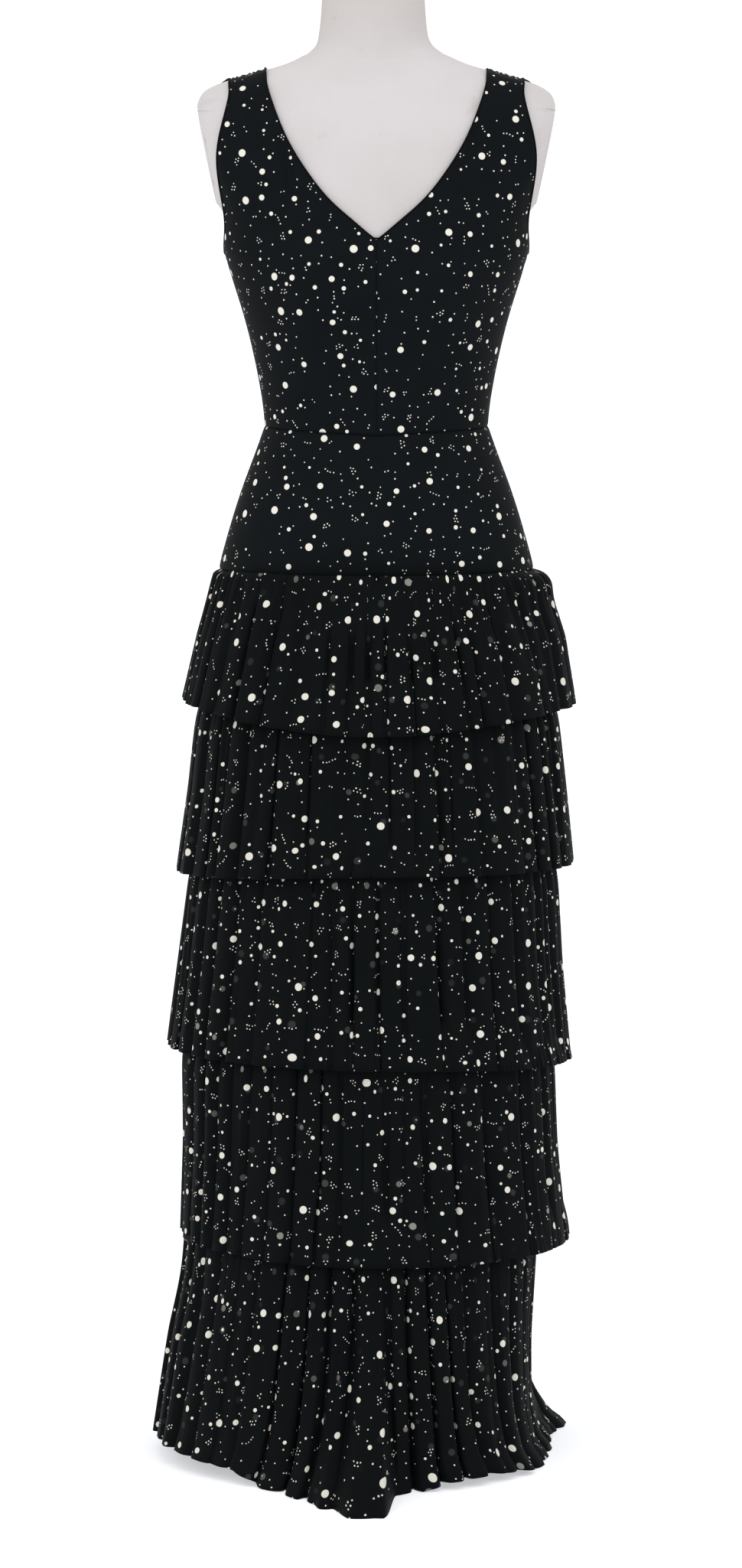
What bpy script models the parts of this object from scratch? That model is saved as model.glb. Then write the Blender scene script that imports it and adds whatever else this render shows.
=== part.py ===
# Evening gown on a limbless dress form with a pole stand.
# Sleeveless V-neck bodice, fitted hip yoke and five gathered tiers over a foundation skirt.
# Metres, +Z up, the front faces -Y. The origin is the middle of the stand base's underside.
# Left and right in the names are the wearer's: left is +X.
import math
import random
from collections import namedtuple

import bmesh
import bpy
from mathutils import Matrix, Vector

# Cloth and seams
WALL = 0.0012                # thickness of every cloth wall
TIER_WALL = 0.0014           # a tier's wall, hems turned
SEAM_GAP = 0.0003            # space between two pieces that are sewn together
EASE = 0.0025                # space between the form and the fitted cloth
SHOULDER_EASE = 0.0008       # the straps rest on the shoulders
YOKE_HEM_EASE = 0.0042       # room for the foundation skirt's top, tucked inside
TUCK_EASE = 0.0023           # space between the form and that tucked top

# Heights along the gown
WAIST_FRONT = 1.1215
WAIST_BACK = 1.1245
WAIST_SIDE = 1.129
UNDERARM = 1.314
SHOULDER_TOP = 1.5107        # shoulder seam at the neck side
SHOULDER_END = 1.4998        # shoulder seam at the armhole
SHOULDER_REST = 1.484        # above this the straps close up to the form
BACK_NECK = 1.418            # lowest point of the back neckline
YOKE_HEM = 0.974
TUCK_TOP = 0.984

# Columns of each fitted quarter, from its centre line to the side seam
QUARTER_COLUMNS = 9

# Zip at the centre back, from the neckline to the yoke's hem
ZIP_HALF_WIDTH = 0.0030
ZIP_THICKNESS = 0.0010

# Slider and pull of the zip
SLIDER_HEIGHT = 1.405        # middle of the slider
SLIDER_SIZE = (0.0050, 0.0022, 0.0090)
BRIDGE_WIDTH = 0.0012
BRIDGE_LENGTH = 0.0064
BRIDGE_RISE = 0.0026
BRIDGE_BAR = 0.0008
PIN_RADIUS = 0.0005
PULL_LENGTH = 0.0200
PULL_WIDTH = 0.0046
PULL_THICKNESS = 0.0010
PULL_ARM = 0.0010
PULL_EYE = 0.0042

# Stand
BASE_RADIUS = 0.135
BASE_EDGE = 0.008            # thickness of the base at its rim
BASE_FACETS = 40
RIM_SLOPE = (0.006, 0.003)   # chamfer of that rim, inward and down
HUB_RADIUS = 0.030
HUB_HEIGHT = 0.022
HUB_FOOT = (0.004, 0.003)    # how the hub spreads where it meets the base
POLE_RADIUS = 0.016
POLE_FACETS = 28
FLANGE_RADIUS = 0.055
FLANGE_THICKNESS = 0.006
FORM_BOTTOM = 0.860
NECK_TOP = 1.620

FormSection = namedtuple("FormSection", "height half_width front back squareness")
FORM_SECTIONS = [
    FormSection(FORM_BOTTOM, 0.1640, 0.0990, 0.1190, 2.20),
    FormSection(0.900, 0.1680, 0.1020, 0.1240, 2.20),
    FormSection(0.940, 0.1680, 0.1035, 0.1250, 2.20),
    FormSection(0.980, 0.1643, 0.1030, 0.1215, 2.20),
    FormSection(1.017, 0.1548, 0.1010, 0.1120, 2.20),
    FormSection(1.067, 0.1393, 0.0965, 0.0965, 2.15),
    FormSection(1.100, 0.1272, 0.0900, 0.0875, 2.10),
    FormSection(1.127, 0.1175, 0.0850, 0.0820, 2.10),
    FormSection(1.150, 0.1195, 0.0870, 0.0810, 2.10),
    FormSection(1.190, 0.1262, 0.0940, 0.0850, 2.10),
    FormSection(1.240, 0.1378, 0.1010, 0.0930, 2.15),
    FormSection(1.290, 0.1530, 0.1050, 0.1000, 2.20),
    FormSection(1.314, 0.1602, 0.1040, 0.1030, 2.30),
    FormSection(1.340, 0.1625, 0.1000, 0.1050, 2.40),
    FormSection(1.366, 0.1665, 0.0960, 0.1055, 2.50),
    FormSection(1.400, 0.1810, 0.0890, 0.1020, 2.60),
    FormSection(1.440, 0.1920, 0.0770, 0.0950, 2.60),
    FormSection(1.466, 0.1955, 0.0670, 0.0880, 2.45),
    FormSection(1.468, 0.1950, 0.0663, 0.0875, 2.40),
    FormSection(1.478, 0.1925, 0.0618, 0.0845, 2.20),
    FormSection(1.486, 0.1870, 0.0585, 0.0820, 2.10),
    FormSection(1.493, 0.1765, 0.0557, 0.0797, 2.05),
    FormSection(1.498, 0.1630, 0.0543, 0.0783, 2.00),
    FormSection(1.504, 0.1410, 0.0528, 0.0760, 2.00),
    FormSection(1.510, 0.1215, 0.0518, 0.0740, 2.00),
    FormSection(1.517, 0.0975, 0.0508, 0.0715, 2.00),
    FormSection(1.526, 0.0780, 0.0500, 0.0680, 2.00),
    FormSection(1.536, 0.0635, 0.0498, 0.0640, 2.00),
    FormSection(1.553, 0.0580, 0.0503, 0.0600, 2.00),
    FormSection(1.585, 0.0553, 0.0518, 0.0570, 2.00),
    FormSection(NECK_TOP, 0.0545, 0.0525, 0.0560, 2.00),
]
FORM_COLUMNS = 32

# Two soft lobes of the bust on the front
BUST_HEIGHT = 1.268
BUST_HALF_SPREAD = 0.078
BUST_RISE = 0.017
BUST_REACH_UP = 0.048
BUST_REACH_ACROSS = 0.042

# Flat covered plate in a shallow recess at each armhole, leaning inward at the bottom
PLATE_LOW = 1.366
PLATE_HIGH = 1.466
PLATE_LOW_X = 0.1720
PLATE_SLOPE = 0.205
PLATE_THICKNESS = 0.0045
PLATE_WIDTH = 0.066
PLATE_RIM = 0.0020           # chamfer round the plate
PLATE_FACETS = 24
CAP_HALF_WIDTH = 0.1925      # the form's shoulders above the plates

# One row of a bodice quarter runs from its centre edge to its side edge.
# The centre edge is a distance from the middle, the side edge one from the side plane.
PanelRow = namedtuple("PanelRow", "centre_height centre_x side_height side_y")
FRONT_ROWS = [
    PanelRow(WAIST_FRONT, 0.0, WAIST_SIDE, 0.0),
    PanelRow(1.150, 0.0, 1.155, 0.0),
    PanelRow(1.190, 0.0, 1.190, 0.0),
    PanelRow(1.228, 0.0, 1.224, 0.0),
    PanelRow(1.262, 0.0, 1.255, 0.0),
    PanelRow(1.297, 0.0, 1.284, 0.0),
    PanelRow(1.3335, 0.0, UNDERARM, 0.0),
    PanelRow(1.349, 0.023, 1.327, 0.019),
    PanelRow(1.372, 0.050, 1.350, 0.032),
    PanelRow(1.402, 0.074, 1.382, 0.041),
    PanelRow(1.436, 0.095, 1.420, 0.0485),
    PanelRow(1.470, 0.1095, 1.456, 0.0480),
    PanelRow(1.492, 0.1165, 1.480, 0.0378),
    PanelRow(1.503, 0.1180, 1.491, 0.0288),
    PanelRow(1.508, 0.1185, 1.4965, 0.0190),
    PanelRow(SHOULDER_TOP, None, SHOULDER_END, 0.0),
]
BACK_ROWS = [
    PanelRow(WAIST_BACK, 0.0, WAIST_SIDE, 0.0),
    PanelRow(1.155, 0.0, 1.155, 0.0),
    PanelRow(1.193, 0.0, 1.190, 0.0),
    PanelRow(1.232, 0.0, 1.224, 0.0),
    PanelRow(1.272, 0.0, 1.255, 0.0),
    PanelRow(1.312, 0.0, 1.284, 0.0),
    PanelRow(1.352, 0.0, UNDERARM, 0.0),
    PanelRow(1.388, 0.0, 1.330, 0.021),
    PanelRow(BACK_NECK, 0.0, 1.356, 0.037),
    PanelRow(1.424, 0.034, 1.388, 0.048),
    PanelRow(1.440, 0.064, 1.424, 0.052),
    PanelRow(1.462, 0.088, 1.453, 0.048),
    PanelRow(1.481, 0.103, 1.473, 0.0470),
    PanelRow(1.496, 0.112, 1.486, 0.0370),
    PanelRow(1.504, 0.116, 1.493, 0.0270),
    PanelRow(1.5082, 0.1175, 1.4972, 0.0165),
    PanelRow(SHOULDER_TOP, None, SHOULDER_END, 0.0),
]
YOKE_HEIGHTS = [1.097, 1.060, 1.020, TUCK_TOP]

# Foundation skirt under the tiers: distances from the pole to the outside of its wall
SkirtSection = namedtuple("SkirtSection", "height left right front back")
FOUNDATION_SECTIONS = [
    SkirtSection(0.925, 0.1740, 0.1740, 0.1115, 0.1325),
    SkirtSection(0.865, 0.1765, 0.1750, 0.1220, 0.1390),
    SkirtSection(0.705, 0.1760, 0.1780, 0.1320, 0.1470),
    SkirtSection(0.500, 0.1700, 0.1840, 0.1370, 0.1520),
    SkirtSection(0.262, 0.1600, 0.1900, 0.1430, 0.1560),
]

# A tier hangs from its gathered head on the foundation skirt to its open hem.
# Each row gives how far the fold crests reach, and the folds' depth behind them.
# The hollows between the front folds are given in degrees from the front centre.
TierRow = namedtuple("TierRow", "share left right front back fold")
Hem = namedtuple("Hem", "left right front back")
Tier = namedtuple("Tier", "seed head head_fold hem hollows rows")
BACK_SHIFT = 1.6             # degrees that a hollow of the back may lie off its mirrored twin
WAVE_PLACES = (0.0, 0.25, 0.78)  # columns of one fold, as shares of the way to the next hollow
WAVE_SHAPE = (0.0, 0.88, 1.0)    # and how far each stands out, from the hollow to the crest
SKIRT_SQUARENESS = 2.15
TIERS = [
    Tier(11, YOKE_HEM - SEAM_GAP, 0.0030, Hem(0.827, 0.827, 0.806, 0.815),
         [-81, -71, -63, -55, -43, -33, -27, -21, -11, -4, 5, 14, 26, 34, 39, 50, 64, 73, 81], [
        TierRow(0.08, 0.1830, 0.1780, 0.1215, 0.1400, 0.006),
        TierRow(0.50, 0.2045, 0.1950, 0.1450, 0.1590, 0.011),
        TierRow(1.00, 0.2160, 0.2126, 0.1660, 0.1780, 0.012),
    ]),
    Tier(12, 0.865, 0.0036, Hem(0.654, 0.645, 0.656, 0.650),
         [-82, -72, -65, -59, -52, -41, -28, -13, -4, 5, 16, 24, 31, 39, 55, 62, 68, 75, 82], [
        TierRow(0.26, 0.1985, 0.1965, 0.1470, 0.1600, 0.008),
        TierRow(0.60, 0.2075, 0.2055, 0.1570, 0.1700, 0.011),
        TierRow(1.00, 0.2167, 0.2192, 0.1680, 0.1820, 0.013),
    ]),
    Tier(13, 0.705, 0.0036, Hem(0.438, 0.453, 0.448, 0.446),
         [-83, -76, -68, -61, -55, -45, -33, -26, -19, -9, 1, 10, 24, 35, 44, 55, 66, 74, 82], [
        TierRow(0.25, 0.1965, 0.2035, 0.1520, 0.1660, 0.008),
        TierRow(0.60, 0.2015, 0.2160, 0.1600, 0.1720, 0.011),
        TierRow(1.00, 0.2116, 0.2301, 0.1710, 0.1840, 0.013),
    ]),
    Tier(14, 0.500, 0.0036, Hem(0.227, 0.244, 0.235, 0.235),
         [-82, -74, -67, -61, -55, -48, -40, -31, -23, -14, -5, 4, 11, 18, 29, 41, 59, 70, 80], [
        TierRow(0.22, 0.1955, 0.2140, 0.1550, 0.1680, 0.009),
        TierRow(0.60, 0.2003, 0.2135, 0.1630, 0.1750, 0.011),
        TierRow(1.00, 0.2116, 0.2167, 0.1740, 0.1860, 0.010),
    ]),
    Tier(15, 0.285, 0.0036, None,
         [-82, -75, -67, -59, -51, -44, -35, -26, -17, -9, 5, 11, 19, 27, 35, 46, 57, 67, 79], [
        TierRow(0.20, 0.1765, 0.2045, 0.1620, 0.1740, 0.008),
        TierRow(0.55, 0.1730, 0.2270, 0.1810, 0.1850, 0.014),
        TierRow(0.80, 0.1745, 0.2375, 0.1970, 0.1950, 0.018),
        TierRow(1.00, 0.1870, 0.2455, 0.2120, 0.2050, 0.020),
    ]),
]

# Hem of the lowest tier at points round it, turned from the front towards the wearer's left:
# how far it hangs above the floor, and how far a fold spreads out over the floor there
FloorPoint = namedtuple("FloorPoint", "turn rise reach")
FLOOR_POINTS = [
    FloorPoint(-90.0, 0.018, 0.0),
    FloorPoint(-60.0, 0.020, 0.0),
    FloorPoint(-42.0, 0.019, 0.0),
    FloorPoint(-33.0, 0.006, 0.006),
    FloorPoint(-26.0, 0.001, 0.012),
    FloorPoint(-16.0, 0.001, 0.042),
    FloorPoint(-9.5, 0.001, 0.080),
    FloorPoint(-6.0, 0.001, 0.108),
    FloorPoint(2.6, 0.001, 0.106),
    FloorPoint(5.2, 0.001, 0.012),
    FloorPoint(10.0, 0.002, 0.0),
    FloorPoint(20.0, 0.013, 0.0),
    FloorPoint(34.0, 0.015, 0.0),
    FloorPoint(50.0, 0.011, 0.006),
    FloorPoint(66.0, 0.001, 0.0),
    FloorPoint(80.0, 0.002, 0.0),
    FloorPoint(100.0, 0.010, 0.0),
    FloorPoint(112.0, 0.003, 0.022),
    FloorPoint(121.0, 0.001, 0.046),
    FloorPoint(131.0, 0.003, 0.016),
    FloorPoint(142.0, 0.008, 0.0),
    FloorPoint(180.0, 0.006, 0.0),
    FloorPoint(225.0, 0.010, 0.0),
    FloorPoint(270.0, 0.018, 0.0),
]
FLOOR_FOLD_START = 0.52      # share of the tier's height where the folds begin to spread
FLOOR_FOLD_BEND = 2.3


def smooth_value(rows, column, height):
    """Monotone cubic curve through one column of a table sorted by height."""
    xs = [row.height for row in rows]
    ys = [getattr(row, column) for row in rows]
    if height <= xs[0]:
        return ys[0]
    if height >= xs[-1]:
        return ys[-1]
    slopes = [(ys[i + 1] - ys[i]) / (xs[i + 1] - xs[i]) for i in range(len(xs) - 1)]

    def tangent(i):
        if i == 0:
            return slopes[0]
        if i == len(slopes):
            return slopes[-1]
        before, after = slopes[i - 1], slopes[i]
        if before * after <= 0.0:
            return 0.0
        return 2.0 * before * after / (before + after)

    i = max(k for k in range(len(slopes)) if xs[k] <= height)
    span = xs[i + 1] - xs[i]
    t = (height - xs[i]) / span
    return ((2 * t**3 - 3 * t**2 + 1) * ys[i] + (t**3 - 2 * t**2 + t) * span * tangent(i)
            + (3 * t**2 - 2 * t**3) * ys[i + 1] + (t**3 - t**2) * span * tangent(i + 1))


def blend(start, end, share):
    return start + (end - start) * share


def oval_radius(turn, across, along, squareness):
    """Distance from the middle to a squared oval, at a turn from the front."""
    side = abs(math.sin(turn)) / across
    depth = abs(math.cos(turn)) / along
    return (side**squareness + depth**squareness) ** (-1.0 / squareness)


def bust_rise(height, x):
    up = (height - BUST_HEIGHT) / BUST_REACH_UP
    across = (abs(x) - BUST_HALF_SPREAD) / BUST_REACH_ACROSS
    return BUST_RISE * math.exp(-up * up - across * across)


def plate_face_x(height):
    """Outer face of the armhole plate, seen from the front."""
    return PLATE_LOW_X + (height - PLATE_LOW) * PLATE_SLOPE


def side_limit(height):
    """How far the form reaches sideways: recessed behind a plate, cut off elsewhere."""
    if PLATE_LOW <= height <= PLATE_HIGH:
        return plate_face_x(height) - PLATE_THICKNESS - 2 * SEAM_GAP
    return CAP_HALF_WIDTH


def form_point(height, turn):
    """Point on the dress form. The turn goes from the front centre to the wearer's left."""
    half_width = smooth_value(FORM_SECTIONS, "half_width", height)
    facing_front = math.cos(turn) > 0.0
    depth = smooth_value(FORM_SECTIONS, "front" if facing_front else "back", height)
    squareness = smooth_value(FORM_SECTIONS, "squareness", height)
    radius = oval_radius(turn, half_width, depth, squareness)
    x = radius * math.sin(turn)
    y = -radius * math.cos(turn)
    if facing_front:
        y -= bust_rise(height, x) * math.cos(turn)
    limit = side_limit(height)
    return Vector((max(-limit, min(limit, x)), y, height))


def off_form(height, turn, distance):
    """Point at a distance outside the form's surface."""
    side_step, up_step = 0.02, 0.002
    along = form_point(height, turn + side_step) - form_point(height, turn - side_step)
    up = form_point(height + up_step, turn) - form_point(height - up_step, turn)
    normal = along.cross(up).normalized()
    return form_point(height, turn) + normal * distance


def turn_where(height, facing, distance_of, target):
    """Turn in the front or back quarter of the wearer's left side where a distance is met."""
    low, high = 0.0, math.pi / 2
    for _ in range(40):
        middle = (low + high) / 2
        point = form_point(height, middle if facing < 0 else math.pi - middle)
        if distance_of(point) < target:
            low = middle
        else:
            high = middle
    return low


def cloth_wall(outside, inside):
    """Closed mesh between two matching grids of points, cut into matching triangles."""
    shell = bmesh.new()
    outer = [[shell.verts.new(point) for point in row] for row in outside]
    inner = [[shell.verts.new(point) for point in row] for row in inside]

    def quad(a, b, c, d):
        shell.faces.new((a, b, c))
        shell.faces.new((a, c, d))

    last_row, last_column = len(outer) - 1, len(outer[0]) - 1
    for r in range(last_row):
        for c in range(last_column):
            quad(outer[r][c], outer[r][c + 1], outer[r + 1][c + 1], outer[r + 1][c])
            quad(inner[r][c], inner[r][c + 1], inner[r + 1][c + 1], inner[r + 1][c])
    for c in range(last_column):
        quad(outer[0][c], outer[0][c + 1], inner[0][c + 1], inner[0][c])
        quad(outer[last_row][c], outer[last_row][c + 1],
             inner[last_row][c + 1], inner[last_row][c])
    for r in range(last_row):
        quad(outer[r][0], outer[r + 1][0], inner[r + 1][0], inner[r][0])
        quad(outer[r][last_column], outer[r + 1][last_column],
             inner[r + 1][last_column], inner[r][last_column])
    bmesh.ops.recalc_face_normals(shell, faces=shell.faces)
    mesh = bpy.data.meshes.new("cloth")
    shell.to_mesh(mesh)
    shell.free()
    return mesh


def add_material(obj, name, colour, roughness, metallic=0.0):
    material = bpy.data.materials.get(name) or bpy.data.materials.new(name)
    material.use_nodes = True
    shader = material.node_tree.nodes["Principled BSDF"]
    shader.inputs["Base Color"].default_value = (*colour, 1.0)
    shader.inputs["Roughness"].default_value = roughness
    shader.inputs["Metallic"].default_value = metallic
    obj.data.materials.clear()
    obj.data.materials.append(material)


def add_object(name, mesh, smooth=True):
    obj = bpy.data.objects.new(name, mesh)
    mesh.name = name
    gown_parts.objects.link(obj)
    if smooth:
        mesh.shade_smooth()
        mesh.set_sharp_from_angle(angle=math.radians(50))
    return obj


def print_cloth(obj):
    """Black crepe with a small ivory print."""
    add_material(obj, "printed_crepe", (0.008, 0.009, 0.010), 0.75)


def form_cloth(obj):
    """Off-white cover of the dress form."""
    add_material(obj, "form_cover", (0.75, 0.72, 0.72), 0.85)


def stand_metal(obj):
    """Grey satin paint on the steel stand."""
    add_material(obj, "stand_steel", (0.55, 0.55, 0.56), 0.40)


def fitted_ease(height):
    """Space between the form and the fitted cloth, closing up at the shoulders."""
    if height > SHOULDER_REST:
        share = min(1.0, (height - SHOULDER_REST) / (SHOULDER_END - SHOULDER_REST))
        return blend(EASE, SHOULDER_EASE, share)
    if height < WAIST_FRONT:
        share = (WAIST_FRONT - height) / (WAIST_FRONT - YOKE_HEM)
        return blend(EASE, YOKE_HEM_EASE, share)
    return EASE


def bodice_quarter(name, rows, facing, side, centre_gap):
    """Quarter of the bodice, from the waist to the shoulder seam.

    facing is -1 for the front and 1 for the back, side is 1 for the wearer's left.
    """
    outside, inside = [], []
    for number, row in enumerate(rows):
        lift = SEAM_GAP / 2 if number == 0 else 0.0
        side_y = max(row.side_y, SEAM_GAP / 2)
        side_turn = turn_where(row.side_height, facing, lambda p: -abs(p.y), -side_y)
        if row.centre_x is None:
            centre_turn = turn_where(row.centre_height, facing, lambda p: -abs(p.y), -side_y)
        else:
            centre_x = max(row.centre_x, centre_gap)
            centre_turn = turn_where(row.centre_height, facing, lambda p: abs(p.x), centre_x)
        outer_row, inner_row = [], []
        for column in range(QUARTER_COLUMNS + 1):
            share = column / QUARTER_COLUMNS
            height = blend(row.centre_height, row.side_height, share) + lift
            turn = blend(centre_turn, side_turn, share)
            full_turn = side * (turn if facing < 0 else math.pi - turn)
            ease = fitted_ease(height)
            outer_row.append(off_form(height, full_turn, ease + WALL))
            inner_row.append(off_form(height, full_turn, ease))
        outside.append(outer_row)
        inside.append(inner_row)
    obj = add_object(name, cloth_wall(outside, inside))
    print_cloth(obj)
    return obj


def yoke_panel(name, facing, sides):
    """Hip yoke panel from the waist seam to the yoke's hem, over one side or both."""
    waist_centre = WAIST_FRONT if facing < 0 else WAIST_BACK
    columns = []
    if -1 in sides:
        columns += [(-1, column) for column in range(QUARTER_COLUMNS, -1, -1)]
    if 1 in sides:
        start = 1 if columns else 0
        columns += [(1, column) for column in range(start, QUARTER_COLUMNS + 1)]
    outside, inside = [], []
    for level in [WAIST_SIDE] + YOKE_HEIGHTS + [YOKE_HEM]:
        outer_row, inner_row = [], []
        for side, column in columns:
            share = column / QUARTER_COLUMNS
            height = level
            if level == WAIST_SIDE:
                height = blend(waist_centre, WAIST_SIDE, share) - SEAM_GAP / 2
            first = 0.0
            if facing > 0:
                first = turn_where(height, facing, lambda p: abs(p.x), ZIP_HALF_WIDTH)
            last = turn_where(height, facing, lambda p: -abs(p.y), -SEAM_GAP / 2)
            turn = side * blend(first, last, share)
            full_turn = turn if facing < 0 else math.pi - turn
            ease = fitted_ease(height)
            outer_row.append(off_form(height, full_turn, ease + WALL))
            inner_row.append(off_form(height, full_turn, ease))
        outside.append(outer_row)
        inside.append(inner_row)
    obj = add_object(name, cloth_wall(outside, inside))
    print_cloth(obj)


def skirt_radius(section, turn):
    """Distance from the pole to a skirt section, with its own size on each of four sides."""
    across = section.left if math.sin(turn) > 0 else section.right
    along = section.front if math.cos(turn) > 0 else section.back
    return oval_radius(turn, across, along, SKIRT_SQUARENESS)


def foundation_radius(height, turn):
    """Outside of the foundation skirt."""
    top = off_form(YOKE_HEM, turn, TUCK_EASE + WALL)
    top_radius = math.hypot(top.x, top.y)
    sections = FOUNDATION_SECTIONS
    if height >= sections[0].height:
        share = (YOKE_HEM - height) / (YOKE_HEM - sections[0].height)
        return blend(top_radius, skirt_radius(sections[0], turn), min(1.0, max(0.0, share)))
    for above, below in zip(sections, sections[1:]):
        if height >= below.height:
            share = (above.height - height) / (above.height - below.height)
            return blend(skirt_radius(above, turn), skirt_radius(below, turn), share)
    return skirt_radius(sections[-1], turn)


def pole_point(radius, turn, height):
    return Vector((radius * math.sin(turn), -radius * math.cos(turn), height))


def foundation_half(name, facing):
    """Front or back half of the foundation skirt, its top tucked inside the yoke."""
    seam_turn = SEAM_GAP / 2 / FOUNDATION_SECTIONS[0].left
    first, last = -math.pi / 2 + seam_turn, math.pi / 2 - seam_turn
    columns = 2 * QUARTER_COLUMNS
    turns = [blend(first, last, column / columns) for column in range(columns + 1)]
    if facing > 0:
        turns = [math.pi - turn for turn in turns]
    outside = [[off_form(TUCK_TOP, turn, TUCK_EASE + WALL) for turn in turns]]
    inside = [[off_form(TUCK_TOP, turn, TUCK_EASE) for turn in turns]]
    for height in [YOKE_HEM] + [section.height for section in FOUNDATION_SECTIONS]:
        radii = [foundation_radius(height, turn) for turn in turns]
        outside.append([pole_point(radius, turn, height)
                        for radius, turn in zip(radii, turns)])
        inside.append([pole_point(radius - WALL, turn, height)
                       for radius, turn in zip(radii, turns)])
    obj = add_object(name, cloth_wall(outside, inside))
    print_cloth(obj)


def hollow_turns(tier, facing, chance):
    """Turns of the hollows of one half, from side seam to side seam."""
    if facing < 0:
        degrees = tier.hollows
    else:
        degrees = [180 + hollow + chance.uniform(-BACK_SHIFT, BACK_SHIFT)
                   for hollow in tier.hollows]
    middle = 0.0 if facing < 0 else 180.0
    return [math.radians(value) for value in [middle - 90.0, *degrees, middle + 90.0]]


def wave_columns(tier):
    """Turns, fold shape, depth and lean of every column round a tier.

    Each half of the tier begins and ends with the hollow of a fold, on a side seam.
    """
    chance = random.Random(tier.seed)
    columns = []
    for facing in (-1, 1):
        hollows = hollow_turns(tier, facing, chance)
        for number, (start, end) in enumerate(zip(hollows, hollows[1:])):
            depth = chance.uniform(0.62, 1.0)
            lean = chance.uniform(-0.012, 0.012)
            for place, shape in zip(WAVE_PLACES, WAVE_SHAPE):
                at_seam = number == 0 and place == 0.0
                columns.append((blend(start, end, place), shape, depth,
                                0.0 if at_seam else lean))
    return columns


def floor_value(column, turn):
    """One column of the floor points at a turn, along straight lines between them."""
    degrees = math.degrees(turn)
    if degrees < FLOOR_POINTS[0].turn:
        degrees += 360.0
    for start, end in zip(FLOOR_POINTS, FLOOR_POINTS[1:]):
        if degrees <= end.turn:
            share = (degrees - start.turn) / (end.turn - start.turn)
            return blend(getattr(start, column), getattr(end, column), share)
    return getattr(FLOOR_POINTS[-1], column)


def floor_reach(turn, share):
    """Extra reach of the folds that spread over the floor."""
    if share <= FLOOR_FOLD_START:
        return 0.0
    bend = ((share - FLOOR_FOLD_START) / (1.0 - FLOOR_FOLD_START)) ** FLOOR_FOLD_BEND
    return floor_value("reach", turn) * bend


def hem_height(tier, turn):
    """Height of the open edge, from its four stated heights or the floor points."""
    if tier.hem is None:
        return floor_value("rise", turn)
    across = tier.hem.left if math.sin(turn) > 0 else tier.hem.right
    along = tier.hem.front if math.cos(turn) > 0 else tier.hem.back
    return blend(along, across, math.sin(turn) ** 2)


def tier_ring(tier, row):
    """One ring of a tier all the way round, outside and inside of its wall."""
    share = row.share if row else 0.0
    points = []
    for turn, shape, depth, lean in wave_columns(tier):
        turn += lean * share
        if row is None:
            head = foundation_radius(tier.head, turn) + SEAM_GAP + TIER_WALL
            radius = head + tier.head_fold * shape * depth
        else:
            radius = skirt_radius(row, turn) - row.fold * (1.0 - shape * depth)
        if tier.hem is None:
            radius += floor_reach(turn, share)
        height = blend(tier.head, hem_height(tier, turn), share)
        points.append(pole_point(radius, turn, height))
    outside, inside = [], []
    for i, point in enumerate(points):
        to_next = points[(i + 1) % len(points)] - point
        from_last = point - points[i - 1]
        along = (to_next.xy.normalized() + from_last.xy.normalized()).normalized()
        normal = Vector((along.y, -along.x, 0.0))
        outside.append(point)
        inside.append(point - normal * TIER_WALL)
    return outside, inside


def tier_half(name, tier, facing):
    """Front or back half of a gathered tier, open at the hem."""
    outside, inside = [], []
    half = (len(tier.hollows) + 1) * len(WAVE_PLACES)
    start = 0 if facing < 0 else half
    for row in [None] + tier.rows:
        outer_ring, inner_ring = tier_ring(tier, row)
        for ring, wall_rows in ((outer_ring, outside), (inner_ring, inside)):
            piece = [ring[(start + i) % len(ring)].copy() for i in range(half + 1)]
            piece[0].y += facing * SEAM_GAP / 2
            piece[-1].y += facing * SEAM_GAP / 2
            wall_rows.append(piece)
    obj = add_object(name, cloth_wall(outside, inside))
    print_cloth(obj)
    return obj


def torso():
    """Closed body of the dress form, from its flat bottom to the neck."""
    turns = [2 * math.pi * i / FORM_COLUMNS for i in range(FORM_COLUMNS)]
    body = bmesh.new()
    rings = []
    for section in FORM_SECTIONS:
        rings.append([body.verts.new(form_point(section.height, turn)) for turn in turns])
    for lower, upper in zip(rings, rings[1:]):
        for i in range(FORM_COLUMNS):
            j = (i + 1) % FORM_COLUMNS
            body.faces.new((lower[i], lower[j], upper[j], upper[i]))
    body.faces.new(rings[0])
    body.faces.new(rings[-1])
    bmesh.ops.recalc_face_normals(body, faces=body.faces)
    mesh = bpy.data.meshes.new("torso")
    body.to_mesh(mesh)
    body.free()
    obj = add_object("form_torso", mesh)
    form_cloth(obj)


def armhole_plate(name, side):
    """Oval plate that closes an armhole of the form."""
    length = (PLATE_HIGH - PLATE_LOW) * math.hypot(1.0, PLATE_SLOPE)
    bpy.ops.mesh.primitive_cylinder_add(vertices=PLATE_FACETS, radius=0.5, depth=1.0)
    obj = bpy.context.object
    obj.name = name
    obj.data.name = name
    lean = math.atan(PLATE_SLOPE)
    middle = (PLATE_LOW + PLATE_HIGH) / 2
    shape = Matrix.Diagonal((length, PLATE_WIDTH, PLATE_THICKNESS, 1.0))
    turn = Matrix.Rotation(side * (math.pi / 2 + lean), 4, "Y")
    obj.data.transform(turn @ shape)
    centre_x = plate_face_x(middle) - PLATE_THICKNESS / 2 * math.cos(lean)
    obj.location = (side * centre_x, 0.0, middle)
    bevel = obj.modifiers.new("rounded rim", "BEVEL")
    bevel.width = PLATE_RIM
    bevel.segments = 1
    for other in obj.users_collection:
        other.objects.unlink(obj)
    gown_parts.objects.link(obj)
    form_cloth(obj)


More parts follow.
